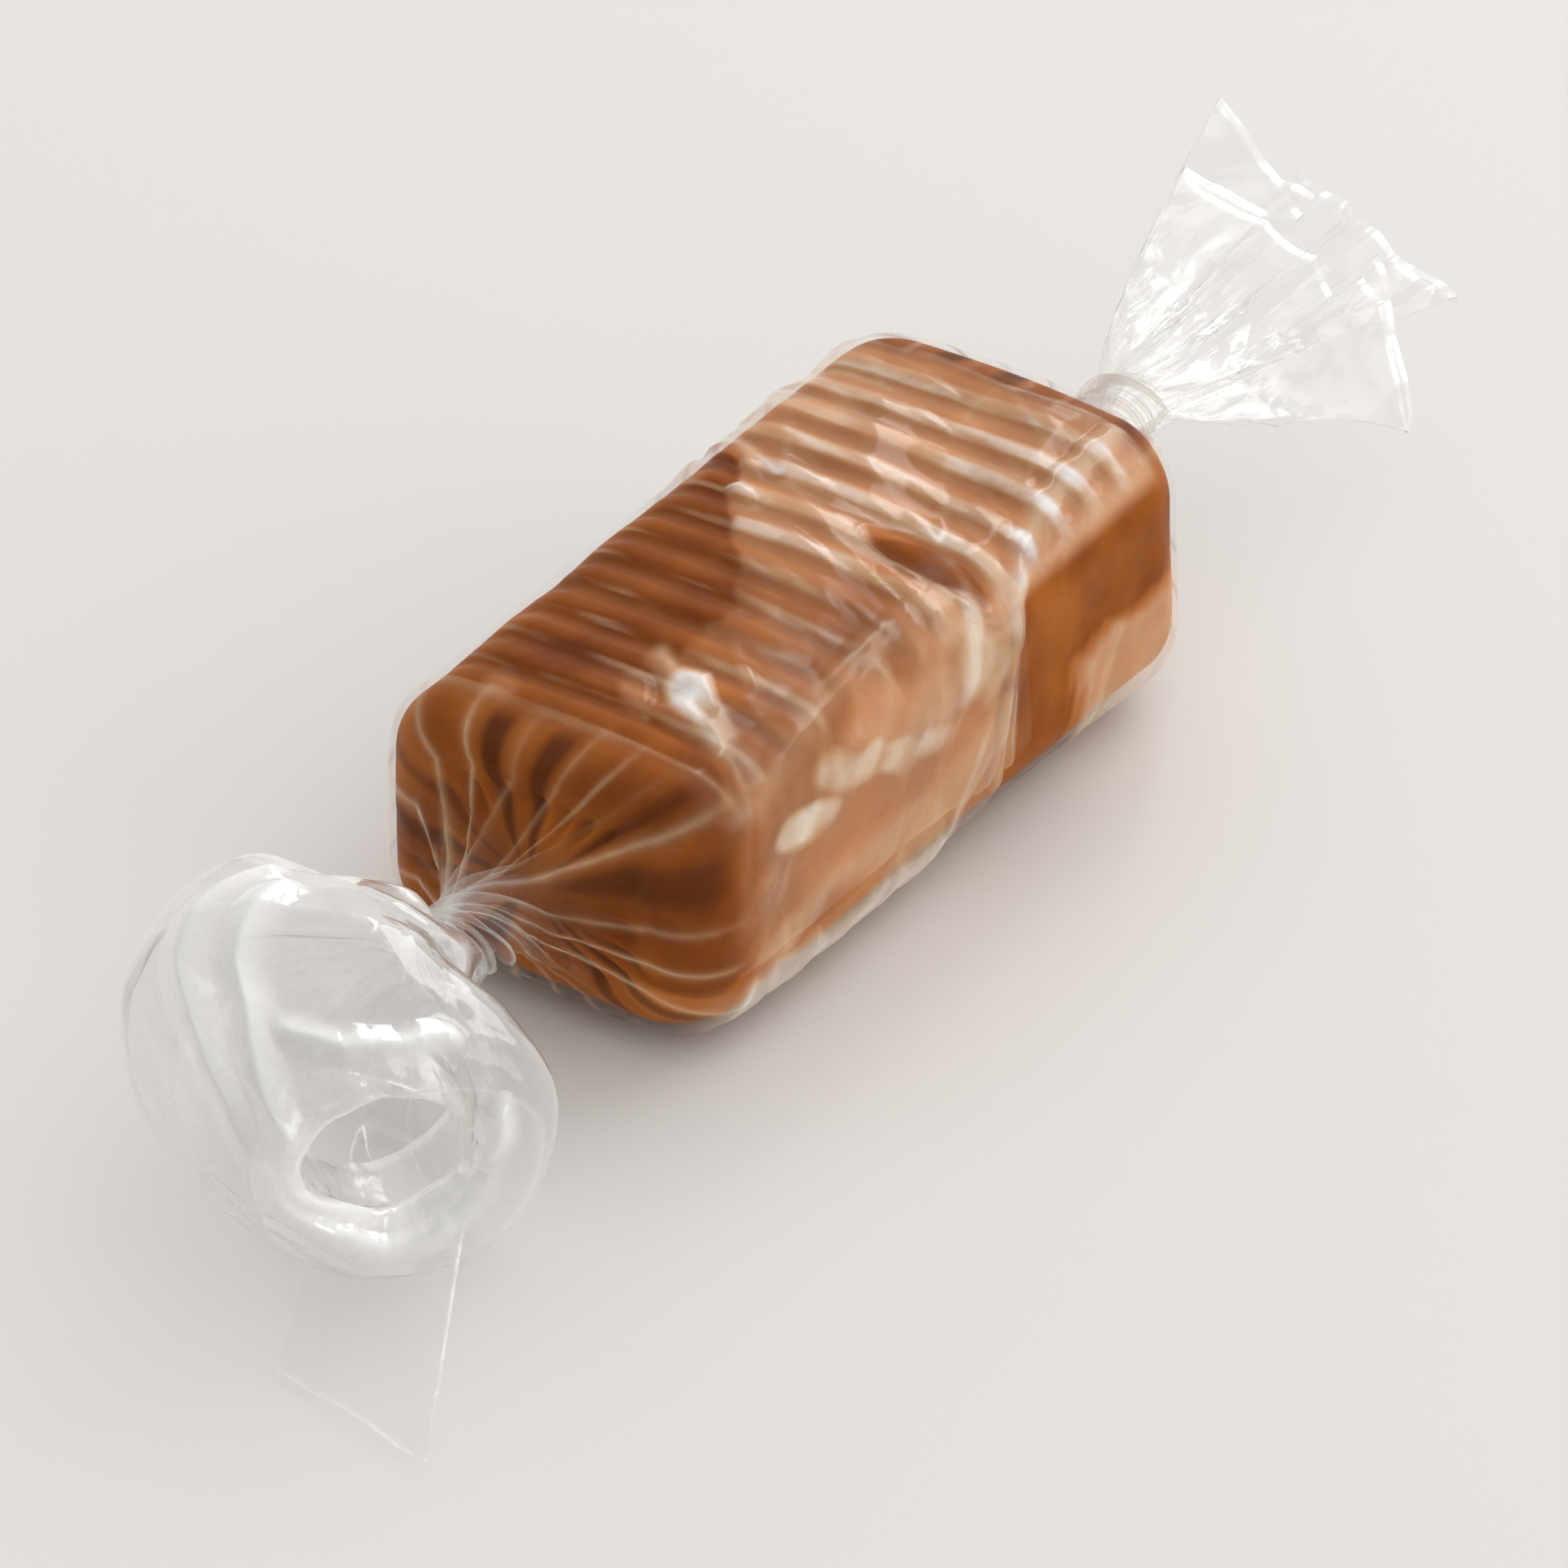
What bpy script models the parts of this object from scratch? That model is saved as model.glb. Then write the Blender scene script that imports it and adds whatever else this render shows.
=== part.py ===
"""A caramel in clear film: a soft ridged block, wrapped once round and twisted shut at both ends.

Metres, +Z up. X runs along the sweet, from the puffed front twist (-X) to the flat rear fan (+X).
The origin is the middle of the face that the block rests on.
"""

import math

import bmesh
import bpy
import numpy as np

# The caramel block.
BLOCK_LENGTH = 0.0310
BLOCK_WIDTH = 0.0152
BLOCK_HEIGHT = 0.0104
LONG_EDGE_ROUND = 0.0024
END_EDGE_ROUND = 0.0026
END_TOP_SHARE = 0.6
CROWN = 0.0004
RIDGE_COUNT = 13
RIDGE_DEPTH = 0.00035

# The film round it. A real film is a few hundredths of a millimetre; the solid needs a wall.
FILM_GAP = 0.0003
FILM_WALL = 0.0004
SEAM_SLIT = 0.0003
SEAM_LENGTH = 0.0240
SEAM_HEIGHT = 0.0034

# The film bunches under the block, and the sweet stands on it.
PAD_LENGTH = 0.0218
PAD_WIDTH = 0.0084
PAD_DEPTH = 0.0003
PAD_SLOPE = 0.0012

# The twists: a pleated shoulder, a tight neck and the loose end of the film.
SHOULDER_LENGTH = 0.0046
NECK_LENGTH = 0.0022
NECK_RADIUS = 0.0018
NECK_CORE = 0.0012
FRONT_END_LENGTH = 0.0125
REAR_END_LENGTH = 0.0142
FRONT_REACH = 0.0074
REAR_REACH = 0.0080
BAG_SWELL = 0.66
BAG_FULLNESS = 0.55
LOOSE_CORE_GROWTH = 0.6
PLEAT_THICKNESS = 0.0007
SHOULDER_PLEAT_DEPTH = 0.26
FLOOR_CLEARANCE = 0.0006
FLOOR_STEP = 0.0001

# The whole turn of each twist, between these stages: 1 is the shoulder's end and 2 the neck's end.
TWIST = math.radians(360)
TWIST_START = 0.45
TWIST_END = 2.25
SHOULDER_STEPS = 6
NECK_STEPS = 6
LOOSE_STEPS = 9

# One corner of the film lies on the floor, out to the side of the front twist.
CORNER_PLEAT = 4
CORNER_START = 0.3
CORNER_LENGTH = 0.0055
CORNER_INNER_Y = -0.0070
CORNER_OUTER_Y = -0.0135

# One pleat of film at each of these directions round the neck, with its share of the reach.
FRONT_PLEATS = ((-20, 1.0), (30, 0.93), (78, 0.88), (126, 0.92), (174, 1.0), (222, 0.9), (284, 0.92))
REAR_PLEATS = ((-8, 1.0), (28, 0.92), (76, 0.36), (122, 0.36), (166, 0.86), (202, 1.0), (264, 0.42))
FRONT_CURL = math.radians(58)
REAR_CURL = math.radians(12)

PLEAT_POINTS = 7
VALLEY_SHARES = (1.0, 0.75, 0.3, 0.0, 0.0, 0.3, 0.75)
RING_POINTS = PLEAT_POINTS * len(FRONT_PLEATS)
CARAMEL_POINTS = 36
STEPS_PER_RIDGE = 4

FILM_OFFSET = FILM_GAP + FILM_WALL
WRAP_HALF_LENGTH = BLOCK_LENGTH / 2 + FILM_OFFSET
WRAP_WIDTH = BLOCK_WIDTH + 2 * FILM_OFFSET
WRAP_HEIGHT = BLOCK_HEIGHT + 2 * FILM_OFFSET
MIDDLE_HEIGHT = PAD_DEPTH + WRAP_HEIGHT / 2

CARAMEL_COLOUR = (0.43, 0.13, 0.033, 1.0)
FILM_COLOUR = (0.88, 0.87, 0.84, 1.0)


def clear_scene():
    """Remove the objects that the file opened with."""
    for thing in list(bpy.data.objects):
        bpy.data.objects.remove(thing, do_unlink=True)


def make_material(name, colour, roughness, alpha=1.0):
    """A Principled material with one colour and one roughness."""
    material = bpy.data.materials.new(name)
    material.use_nodes = True
    shader = material.node_tree.nodes["Principled BSDF"]
    shader.inputs["Base Color"].default_value = colour
    shader.inputs["Roughness"].default_value = roughness
    shader.inputs["Metallic"].default_value = 0.0
    shader.inputs["Alpha"].default_value = alpha
    return material


def smooth_step(value):
    """0 below 0, 1 above 1, and a soft S between."""
    value = min(max(value, 0.0), 1.0)
    return value * value * (3.0 - 2.0 * value)


def rounded_rectangle(width, height, radius, count):
    """Evenly spaced (y, z) points round a rounded rectangle, from the +Y side and turning towards +Z."""
    outline = []
    for turn, (side_y, side_z) in enumerate(((1, 1), (-1, 1), (-1, -1), (1, -1))):
        for angle in np.linspace(0.0, math.pi / 2, 13) + turn * math.pi / 2:
            outline.append((side_y * (width / 2 - radius) + radius * math.cos(angle),
                            side_z * (height / 2 - radius) + radius * math.sin(angle)))
    outline = np.array([(width / 2, 0.0)] + outline + [(width / 2, 0.0)])
    along = np.concatenate([[0.0], np.cumsum(np.linalg.norm(np.diff(outline, axis=0), axis=1))])
    wanted = np.arange(count) / count * along[-1]
    return np.column_stack([np.interp(wanted, along, outline[:, axis]) for axis in (0, 1)])


def crowned(section, width, height):
    """Lift the upper half of a section into a low crown, highest over the middle."""
    lift = CROWN * (1.0 - (2.0 * section[:, 0] / width) ** 2)
    upper = np.clip(section[:, 1] / (height / 2), 0.0, 1.0)
    return np.column_stack([section[:, 0], section[:, 1] + lift * upper])


def end_inset(distance, radius):
    """How far a round of this radius draws a side in, at this distance before the end."""
    if distance >= radius:
        return 0.0
    return radius - math.sqrt(radius ** 2 - (radius - distance) ** 2)


def block_section(x, half_length, offset, count):
    """The block's section at x, grown by offset all round, as (y, z) points about its middle."""
    inset = end_inset(half_length - abs(x), END_EDGE_ROUND)
    width = BLOCK_WIDTH + 2 * (offset - inset)
    height = BLOCK_HEIGHT + 2 * (offset - inset * END_TOP_SHARE)
    radius = LONG_EDGE_ROUND + offset - inset * 0.4
    return crowned(rounded_rectangle(width, height, radius, count), width, height)


def pleated_section(pleats, reach, core, curl, lowest):
    """Seven points to a pleat: the valley before it, out along one side, and back along the other.

    A pleat turns by curl on its way from the core to the full reach, and stops short of the floor.
    """
    points = []
    directions = [math.radians(degrees) for degrees, share in pleats]
    half = min(PLEAT_THICKNESS / 2, core * 0.35)

    def bearing(direction, radius):
        return direction + curl * (radius - core) / max(reach - core, core)

    for number, (direction, (degrees, share)) in enumerate(zip(directions, pleats)):
        before = directions[number - 1] - (2 * math.pi if number == 0 else 0.0)
        valley = (before + direction) / 2
        points.append((core * math.cos(valley), core * math.sin(valley)))
        tip = core + (reach - core) * share
        while tip > core and tip * math.sin(bearing(direction, tip)) - half < lowest:
            tip -= FLOOR_STEP
        for side, fractions in ((-1, (0.0, 0.5, 1.0)), (1, (1.0, 0.5, 0.0))):
            for fraction in fractions:
                radius = core + (tip - core) * fraction
                angle = bearing(direction, radius)
                across = side * half
                points.append((radius * math.cos(angle) - across * math.sin(angle),
                               radius * math.sin(angle) + across * math.cos(angle)))
    return np.array(points)


def turned(section, angle):
    """The section turned about the neck's line."""
    cosine, sine = math.cos(angle), math.sin(angle)
    return section @ np.array([[cosine, sine], [-sine, cosine]])


def loose_end_reach(fraction, front):
    """Front: swells to a round bag and draws in at its mouth. Rear: opens evenly to its cut edge."""
    if front:
        swell = math.sin(math.pi * BAG_SWELL * fraction) ** BAG_FULLNESS
        return NECK_RADIUS + (FRONT_REACH - NECK_RADIUS) * swell
    return NECK_RADIUS + (REAR_REACH - NECK_RADIUS) * fraction ** 0.8


def lay_corner_down(ring, fraction, lowest):
    """Draw one pleat of the front twist out to a corner of film that lies on the floor."""
    laid = smooth_step((fraction - CORNER_START) / (1.0 - CORNER_START))
    first = CORNER_PLEAT * PLEAT_POINTS
    top, under = lowest + PLEAT_THICKNESS, lowest
    for place, (y, z) in ((2, (CORNER_INNER_Y, top)), (3, (CORNER_OUTER_Y, top)),
                          (4, (CORNER_OUTER_Y, under)), (5, (CORNER_INNER_Y, under))):
        point = ring[first + place]
        point[0] -= CORNER_LENGTH * laid
        point[1] += (y - point[1]) * laid
        point[2] += (z - point[2]) * laid


def twist_section(fraction_out, start, neck, pleats, curl, lowest, front):
    """The film's section, not yet turned: 0 to 1 on the shoulder, 1 to 2 on the neck, 2 to 3 beyond it.

    On the shoulder the block's outline blends into the neck's, and the points between two pleats
    are drawn in by a half sine, so that the pleats start at the block's edge.
    """
    if fraction_out <= 1.0:
        valley = np.array(VALLEY_SHARES * len(pleats))[:, np.newaxis]
        blend = 0.5 * smooth_step(fraction_out) + 0.5 * (1.0 - (1.0 - fraction_out) ** 2)
        drawn_in = 1.0 - SHOULDER_PLEAT_DEPTH * valley * math.sin(math.pi * fraction_out)
        return ((1.0 - blend) * start + blend * neck) * drawn_in
    if fraction_out <= 2.0:
        return neck
    fraction = fraction_out - 2.0
    core = NECK_CORE * (1.0 + LOOSE_CORE_GROWTH * fraction)
    return pleated_section(pleats, loose_end_reach(fraction, front), core, curl * fraction, lowest)


def twist_rings(front):
    """Rings of (x, y, z) points from the block's end out to the film's cut edge, turned once round."""
    pleats = FRONT_PLEATS if front else REAR_PLEATS
    curl = FRONT_CURL if front else REAR_CURL
    end_length = FRONT_END_LENGTH if front else REAR_END_LENGTH
    outward = -1.0 if front else 1.0
    lowest = FLOOR_CLEARANCE - MIDDLE_HEIGHT
    start = block_section(WRAP_HALF_LENGTH, WRAP_HALF_LENGTH, FILM_OFFSET, RING_POINTS)
    neck = pleated_section(pleats, NECK_RADIUS, NECK_CORE, 0.0, lowest)
    stages = np.concatenate([np.arange(1, SHOULDER_STEPS + 1) / SHOULDER_STEPS,
                             1.0 + np.arange(1, NECK_STEPS + 1) / NECK_STEPS,
                             2.0 + np.arange(1, LOOSE_STEPS + 1) / LOOSE_STEPS])
    places = np.interp(stages, (0.0, 1.0, 2.0, 3.0),
                       WRAP_HALF_LENGTH + np.cumsum((0.0, SHOULDER_LENGTH, NECK_LENGTH, end_length)))
    rings = []
    for stage, place in zip(stages, places):
        section = twist_section(stage, start, neck, pleats, curl, lowest, front)
        angle = outward * TWIST * smooth_step((stage - TWIST_START) / (TWIST_END - TWIST_START))
        section = turned(section, angle)
        ring = np.column_stack([np.full(RING_POINTS, outward * place), section[:, 0],
                                np.maximum(section[:, 1], lowest)])
        if front and stage > 2.0:
            lay_corner_down(ring, stage - 2.0, lowest)
        rings.append(ring + (0.0, 0.0, MIDDLE_HEIGHT))
    return rings


def body_rings(half_length, offset, count, positions):
    """Rings of (x, y, z) points round the block, one at each position along it."""
    rings = []
    for x in positions:
        section = block_section(x, half_length, offset, count)
        rings.append(np.column_stack([np.full(count, x), section[:, 0], section[:, 1] + MIDDLE_HEIGHT]))
    return rings


def end_positions(half_length, flat_steps, round_steps=4):
    """Places along a block with rounded ends: close together over the rounding, even between."""
    straight = half_length - END_EDGE_ROUND
    rounding = [straight + END_EDGE_ROUND * math.sin(math.pi / 2 * step / round_steps)
                for step in range(1, round_steps + 1)]
    middle = list(np.linspace(-straight, straight, flat_steps + 1))
    return [-x for x in reversed(rounding)] + middle + rounding


def close_round_end(bm, loop):
    """Close a convex section by a fan about its middle."""
    bmesh.ops.poke(bm, faces=[bm.faces.new(loop)])


def close_pleated_end(bm, loop):
    """Close a pleated section: two quads across each pleat, and a fan over the core that they share."""
    core = []
    for first in range(0, len(loop), PLEAT_POINTS):
        valley, near, middle, tip, far_tip, far_middle, far_near = loop[first:first + PLEAT_POINTS]
        bm.faces.new((near, middle, far_middle, far_near))
        bm.faces.new((middle, tip, far_tip, far_middle))
        core += [valley, near, far_near]
    close_round_end(bm, core)


def loft(name, rings, material, close_end=close_round_end):
    """Join the rings one after another and close both ends."""
    mesh = bpy.data.meshes.new(name)
    bm = bmesh.new()
    loops = [[bm.verts.new(point) for point in ring] for ring in rings]
    for first, second in zip(loops, loops[1:]):
        for here in range(len(first)):
            there = (here + 1) % len(first)
            bm.faces.new((first[here], first[there], second[there], second[here]))
    close_end(bm, loops[0])
    close_end(bm, loops[-1])
    bmesh.ops.recalc_face_normals(bm, faces=bm.faces)
    bm.to_mesh(mesh)
    bm.free()
    mesh.shade_smooth()
    mesh.set_sharp_from_angle(angle=math.radians(40))
    mesh.materials.append(material)
    thing = bpy.data.objects.new(name, mesh)
    bpy.context.scene.collection.objects.link(thing)
    return thing


def ridge_lift(x, y, z):
    """Ridges across the top: a cosine along x, fading out at the ends, the edges and below the top."""
    pitch = (BLOCK_LENGTH - 2 * END_EDGE_ROUND) / RIDGE_COUNT
    wave = 0.5 - 0.5 * np.cos(2 * math.pi * (x + BLOCK_LENGTH / 2 - END_EDGE_ROUND) / pitch)
    along = np.clip((BLOCK_LENGTH / 2 - END_EDGE_ROUND - np.abs(x)) / pitch, 0.0, 1.0)
    across = np.clip((BLOCK_WIDTH / 2 - np.abs(y)) / LONG_EDGE_ROUND, 0.0, 1.0)
    top = z > MIDDLE_HEIGHT + BLOCK_HEIGHT / 2 - LONG_EDGE_ROUND * 0.5
    return RIDGE_DEPTH * wave * along * across * top


def build_caramel():
    """The block: rounded edges, cut ends, and the ridges that its sheet was rolled with."""
    half_length = BLOCK_LENGTH / 2
    positions = end_positions(half_length, RIDGE_COUNT * STEPS_PER_RIDGE, round_steps=3)
    rings = body_rings(half_length, 0.0, CARAMEL_POINTS, positions)
    for ring in rings:
        ring[:, 2] -= ridge_lift(ring[:, 0], ring[:, 1], ring[:, 2])
    return loft("caramel", rings, make_material("caramel", CARAMEL_COLOUR, 0.45))


def hidden_tool(thing):
    """A shape that only serves to form another shows as wire and is not part of the sweet."""
    thing.hide_render = True
    thing.display_type = "WIRE"
    return thing


def combine(thing, other, operation):
    """Join the other's shape to the thing (UNION), or take it out of the thing (DIFFERENCE)."""
    modifier = thing.modifiers.new(other.name, "BOOLEAN")
    modifier.operation = operation
    modifier.solver = "EXACT"
    modifier.object = other


def build_cavity():
    """The room that the block fills, with a small gap all round."""
    half_length = BLOCK_LENGTH / 2 + FILM_GAP
    rings = body_rings(half_length, FILM_GAP, CARAMEL_POINTS, end_positions(half_length, 2, round_steps=3))
    return hidden_tool(loft("cavity", rings, make_material("cavity", FILM_COLOUR, 0.5)))


def build_seam_slit():
    """The open line of the lap, where the film's free edge lies on the layer below."""
    mesh = bpy.data.meshes.new("seam_slit")
    bm = bmesh.new()
    bmesh.ops.create_cube(bm, size=1.0)
    bmesh.ops.scale(bm, vec=(SEAM_LENGTH, 4 * FILM_OFFSET, SEAM_SLIT), verts=bm.verts)
    bmesh.ops.translate(bm, vec=(0.0, -WRAP_WIDTH / 2, PAD_DEPTH + SEAM_HEIGHT), verts=bm.verts)
    bm.to_mesh(mesh)
    bm.free()
    thing = bpy.data.objects.new("seam_slit", mesh)
    bpy.context.scene.collection.objects.link(thing)
    return hidden_tool(thing)


def build_rest_pad():
    """The pad under the block: sloping sides, and a flat face that touches the floor."""
    mesh = bpy.data.meshes.new("rest_pad")
    bm = bmesh.new()
    bmesh.ops.create_cube(bm, size=1.0)
    upper = PAD_DEPTH + FILM_WALL / 2
    for corner in bm.verts:
        slope = PAD_SLOPE if corner.co.z > 0 else 0.0
        corner.co.x *= PAD_LENGTH + 2 * slope
        corner.co.y *= PAD_WIDTH + 2 * slope
        corner.co.z = upper if corner.co.z > 0 else 0.0
    bm.to_mesh(mesh)
    bm.free()
    mesh.materials.append(bpy.data.materials["film"])
    thing = bpy.data.objects.new("rest_pad", mesh)
    bpy.context.scene.collection.objects.link(thing)
    return hidden_tool(thing)


def build_wrapper():
    """The film: once round the block, drawn in to a neck at each end, and loose beyond."""
    rings = list(reversed(twist_rings(front=True)))
    rings += body_rings(WRAP_HALF_LENGTH, FILM_OFFSET, RING_POINTS, end_positions(WRAP_HALF_LENGTH, 6))
    rings += twist_rings(front=False)
    film = make_material("film", FILM_COLOUR, 0.12, alpha=0.35)
    wrapper = loft("wrapper", rings, film, close_end=close_pleated_end)
    combine(wrapper, build_rest_pad(), "UNION")
    combine(wrapper, build_cavity(), "DIFFERENCE")
    combine(wrapper, build_seam_slit(), "DIFFERENCE")
    return wrapper


def main():
    clear_scene()
    build_caramel()
    build_wrapper()


main()
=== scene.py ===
# %% [markdown]
# A caramel in clear film, twisted shut at both ends: a soft, ridged block, and one thin sheet that goes
# once round it, is gathered to a neck at each end, and hangs loose beyond. The film shows mostly by what
# it mirrors, so its folds are modelled; pale lines and patches on some crests, rims and edges are painted
# highlights. All lengths are in metres. X runs along the sweet, and Z is up from the face that it lies on.

# %% Load the frame
import math

import bpy
import numpy as np
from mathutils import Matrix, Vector


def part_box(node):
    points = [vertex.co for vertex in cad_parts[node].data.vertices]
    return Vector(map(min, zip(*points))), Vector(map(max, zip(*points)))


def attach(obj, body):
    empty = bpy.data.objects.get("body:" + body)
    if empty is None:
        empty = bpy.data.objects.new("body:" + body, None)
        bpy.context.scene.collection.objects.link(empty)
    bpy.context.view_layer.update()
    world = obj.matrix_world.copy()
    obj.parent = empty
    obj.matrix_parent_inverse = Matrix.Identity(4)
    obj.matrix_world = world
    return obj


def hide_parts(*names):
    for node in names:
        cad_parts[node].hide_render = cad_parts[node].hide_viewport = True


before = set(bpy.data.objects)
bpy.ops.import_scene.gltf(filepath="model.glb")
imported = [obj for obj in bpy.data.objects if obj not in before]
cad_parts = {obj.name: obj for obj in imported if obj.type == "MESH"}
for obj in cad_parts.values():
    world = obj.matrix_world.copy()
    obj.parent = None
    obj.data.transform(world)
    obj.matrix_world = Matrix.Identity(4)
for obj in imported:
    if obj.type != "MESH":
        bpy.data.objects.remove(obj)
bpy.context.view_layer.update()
caramel_low, caramel_high = (np.array(corner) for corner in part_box("caramel"))
print("the block in the frame measures", (caramel_high - caramel_low).round(4), "m")

# %% [markdown]
# Every size follows from a few: the block's, read from the frame, and the lengths of the film's
# shoulder, neck and loose ends. They are the same rules that the solid model was made by, so the
# film lies where the solid wrapper is.

# %% Sizes of the block and the film
MM = 0.001
TURN = 2 * math.pi
CROWN = 0.4 * MM
BLOCK_LENGTH, BLOCK_WIDTH, BLOCK_HEIGHT = caramel_high - caramel_low
BLOCK_HEIGHT -= CROWN
SIDE_ROUND = 2.4 * MM
END_ROUND = 2.6 * MM
END_TOP_SHARE = 0.6
FILM_OFFSET = 0.7 * MM
FILM_CLOSE = 0.34 * MM
MIDDLE_HEIGHT = caramel_low[2] + BLOCK_HEIGHT / 2
LIFT = np.array([0.0, 0.0, MIDDLE_HEIGHT])
WRAP_HALF = BLOCK_LENGTH / 2 + FILM_OFFSET

SHOULDER_LENGTH = 4.6 * MM
NECK_LENGTH = 2.2 * MM
NECK_START = SHOULDER_LENGTH + NECK_LENGTH
NECK_RADIUS = 1.8 * MM
NECK_CORE = 1.2 * MM
CORE_GROWTH = 0.6
SHOULDER_DEPTH = 0.26
PLEAT_HALF = 0.30 * MM
LOWEST = 0.25 * MM - MIDDLE_HEIGHT
FILM_LOWEST = 0.04 * MM - MIDDLE_HEIGHT

TWIST_START = 0.45
TWIST_END = 2.25


# %% Small helpers
def ease(value):
    """0 below 0, 1 above 1, and 3v^2 - 2v^3 between."""
    value = np.clip(value, 0.0, 1.0)
    return value * value * (3.0 - 2.0 * value)


def mixed(first, second, share):
    """The first at share 0, the second at share 1, and in proportion between."""
    return first + (second - first) * share


# %% Noise
WAVE_COUNT = 6


def waves(u, v, seed, fineness):
    """Smooth noise of about -1 to 1: a sum of sines in drawn directions of the u, v plane."""
    rng = np.random.default_rng(seed)
    total = 0.0
    for across, along, phase in rng.uniform((-1, -1, 0), (1, 1, TURN), (WAVE_COUNT, 3)):
        total = total + np.sin(fineness * (across * u + along * v) + phase)
    return total / math.sqrt(WAVE_COUNT * 2)


def facets(u, v, cells_u, cells_v, seed):
    """Crumpled heights: random heights on a lattice of triangles, joined by flat facets. u closes at 1.

    In a cell with corner heights a, b, c and d, the half near a is a + (b-a)f + (c-a)g, and the other
    half is d + (c-d)(1-f) + (b-d)(1-g), where f and g run from 0 to 1 over the cell.
    """
    rng = np.random.default_rng(seed)
    heights = rng.uniform(-1.0, 1.0, (cells_v + 3, cells_u))
    place_u = (u % 1.0) * cells_u
    place_v = np.clip(v, 0.0, 1.0) * cells_v
    column = np.floor(place_u).astype(int) % cells_u
    row = np.floor(place_v).astype(int)
    f, g = place_u - np.floor(place_u), place_v - row
    beside = (column + 1) % cells_u
    a, b = heights[row, column], heights[row, beside]
    c, d = heights[row + 1, column], heights[row + 1, beside]
    near = a + (b - a) * f + (c - a) * g
    far = d + (c - d) * (1.0 - f) + (b - d) * (1.0 - g)
    return np.where(f + g < 1.0, near, far)


# %% Settle the whole sweet
def settled(points):
    """Skew and bow all points by the same slow waves, as a soft sweet does; the underside stays flat."""
    x, y, z = np.moveaxis(points, -1, 0) / MM
    reach = ease((19.0 - np.abs(x)) / 5.0)
    height = ease((z + 5.5) / 5.0)
    moved_x = 0.32 * waves(y, z, seed=91, fineness=0.35) * reach
    moved_y = 0.26 * waves(x, z, seed=92, fineness=0.30) * reach * height
    moved_z = 0.22 * waves(x, y, seed=93, fineness=0.28) * reach * height
    return points + MM * np.stack([moved_x, moved_y, moved_z], axis=-1)


# %% Make a mesh from a grid of points
def add_object(name, data):
    """An object in the scene, at the origin."""
    thing = bpy.data.objects.new(name, data)
    bpy.context.scene.collection.objects.link(thing)
    return thing


def grid_mesh(name, points, fields, closed_round=True, closed_ends=False):
    """A mesh over points[row, column]: rows run towards +X and columns turn from +Y to +Z."""
    rows, columns = points.shape[:2]
    index = np.arange(rows * columns).reshape(rows, columns)
    beside = np.roll(index, -1, axis=1)
    if not closed_round:
        index, beside = index[:, :-1], beside[:, :-1]
    faces = np.stack([index[:-1], beside[:-1], beside[1:], index[1:]], axis=-1).reshape(-1, 4).tolist()
    vertices = points.reshape(-1, 3)
    if closed_ends:
        vertices = np.vstack([vertices, points[0].mean(axis=0), points[-1].mean(axis=0)])
        first, last = (np.full(columns, len(vertices) - back) for back in (2, 1))
        faces += np.column_stack([beside[0], index[0], first]).tolist()
        faces += np.column_stack([index[-1], beside[-1], last]).tolist()
    mesh = bpy.data.meshes.new(name)
    mesh.from_pydata(vertices.tolist(), [], faces)
    for field, values in fields.items():
        layer = mesh.attributes.new(field, "FLOAT", "POINT")
        full = np.zeros(len(vertices))
        full[:values.size] = values.reshape(-1)
        layer.data.foreach_set("value", full)
    mesh.shade_smooth()
    mesh.update()
    print(name, "has", len(vertices), "points and", len(faces), "faces")
    return add_object(name, mesh)


def grid_normals(points, closed_round=True):
    """Unit normals of a grid of points: the cross product of its steps round and along."""
    if closed_round:
        round_step = np.roll(points, -1, axis=1) - np.roll(points, 1, axis=1)
    else:
        round_step = np.gradient(points, axis=1)
    normals = np.cross(round_step, np.gradient(points, axis=0))
    return normals / np.maximum(np.linalg.norm(normals, axis=-1, keepdims=True), 1e-12)


# %% [markdown]
# The block's outline is a rounded rectangle. It is walked at an even pace by t, from the middle of
# the +Y side up over the top, down the -Y side and back below. MARKS are the shares at which its
# straight and round stretches begin. The corner that a point belongs to and the direction it faces
# depend on t alone, so one rule serves every section along the block.

# %% The outline of the block
SIDE = BLOCK_HEIGHT - 2 * SIDE_ROUND
TOP = BLOCK_WIDTH - 2 * SIDE_ROUND
ARC = SIDE_ROUND * math.pi / 2
STEPS = np.cumsum([0, SIDE / 2, ARC, TOP, ARC, SIDE, ARC, TOP, ARC, SIDE / 2])
MARKS = STEPS / STEPS[-1]
ROUND_LENGTH = 2 * (BLOCK_WIDTH + BLOCK_HEIGHT - 4 * SIDE_ROUND) + TURN * SIDE_ROUND
print("once round the block is", round(ROUND_LENGTH / MM, 1), "mm")


def end_inset(x, half_length):
    """How far the round at an end draws the sides in at x: R - sqrt(R^2 - (R - d)^2), d from the end."""
    distance = np.clip(half_length - np.abs(x), 0.0, END_ROUND)
    return END_ROUND - np.sqrt(END_ROUND ** 2 - (END_ROUND - distance) ** 2)


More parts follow.
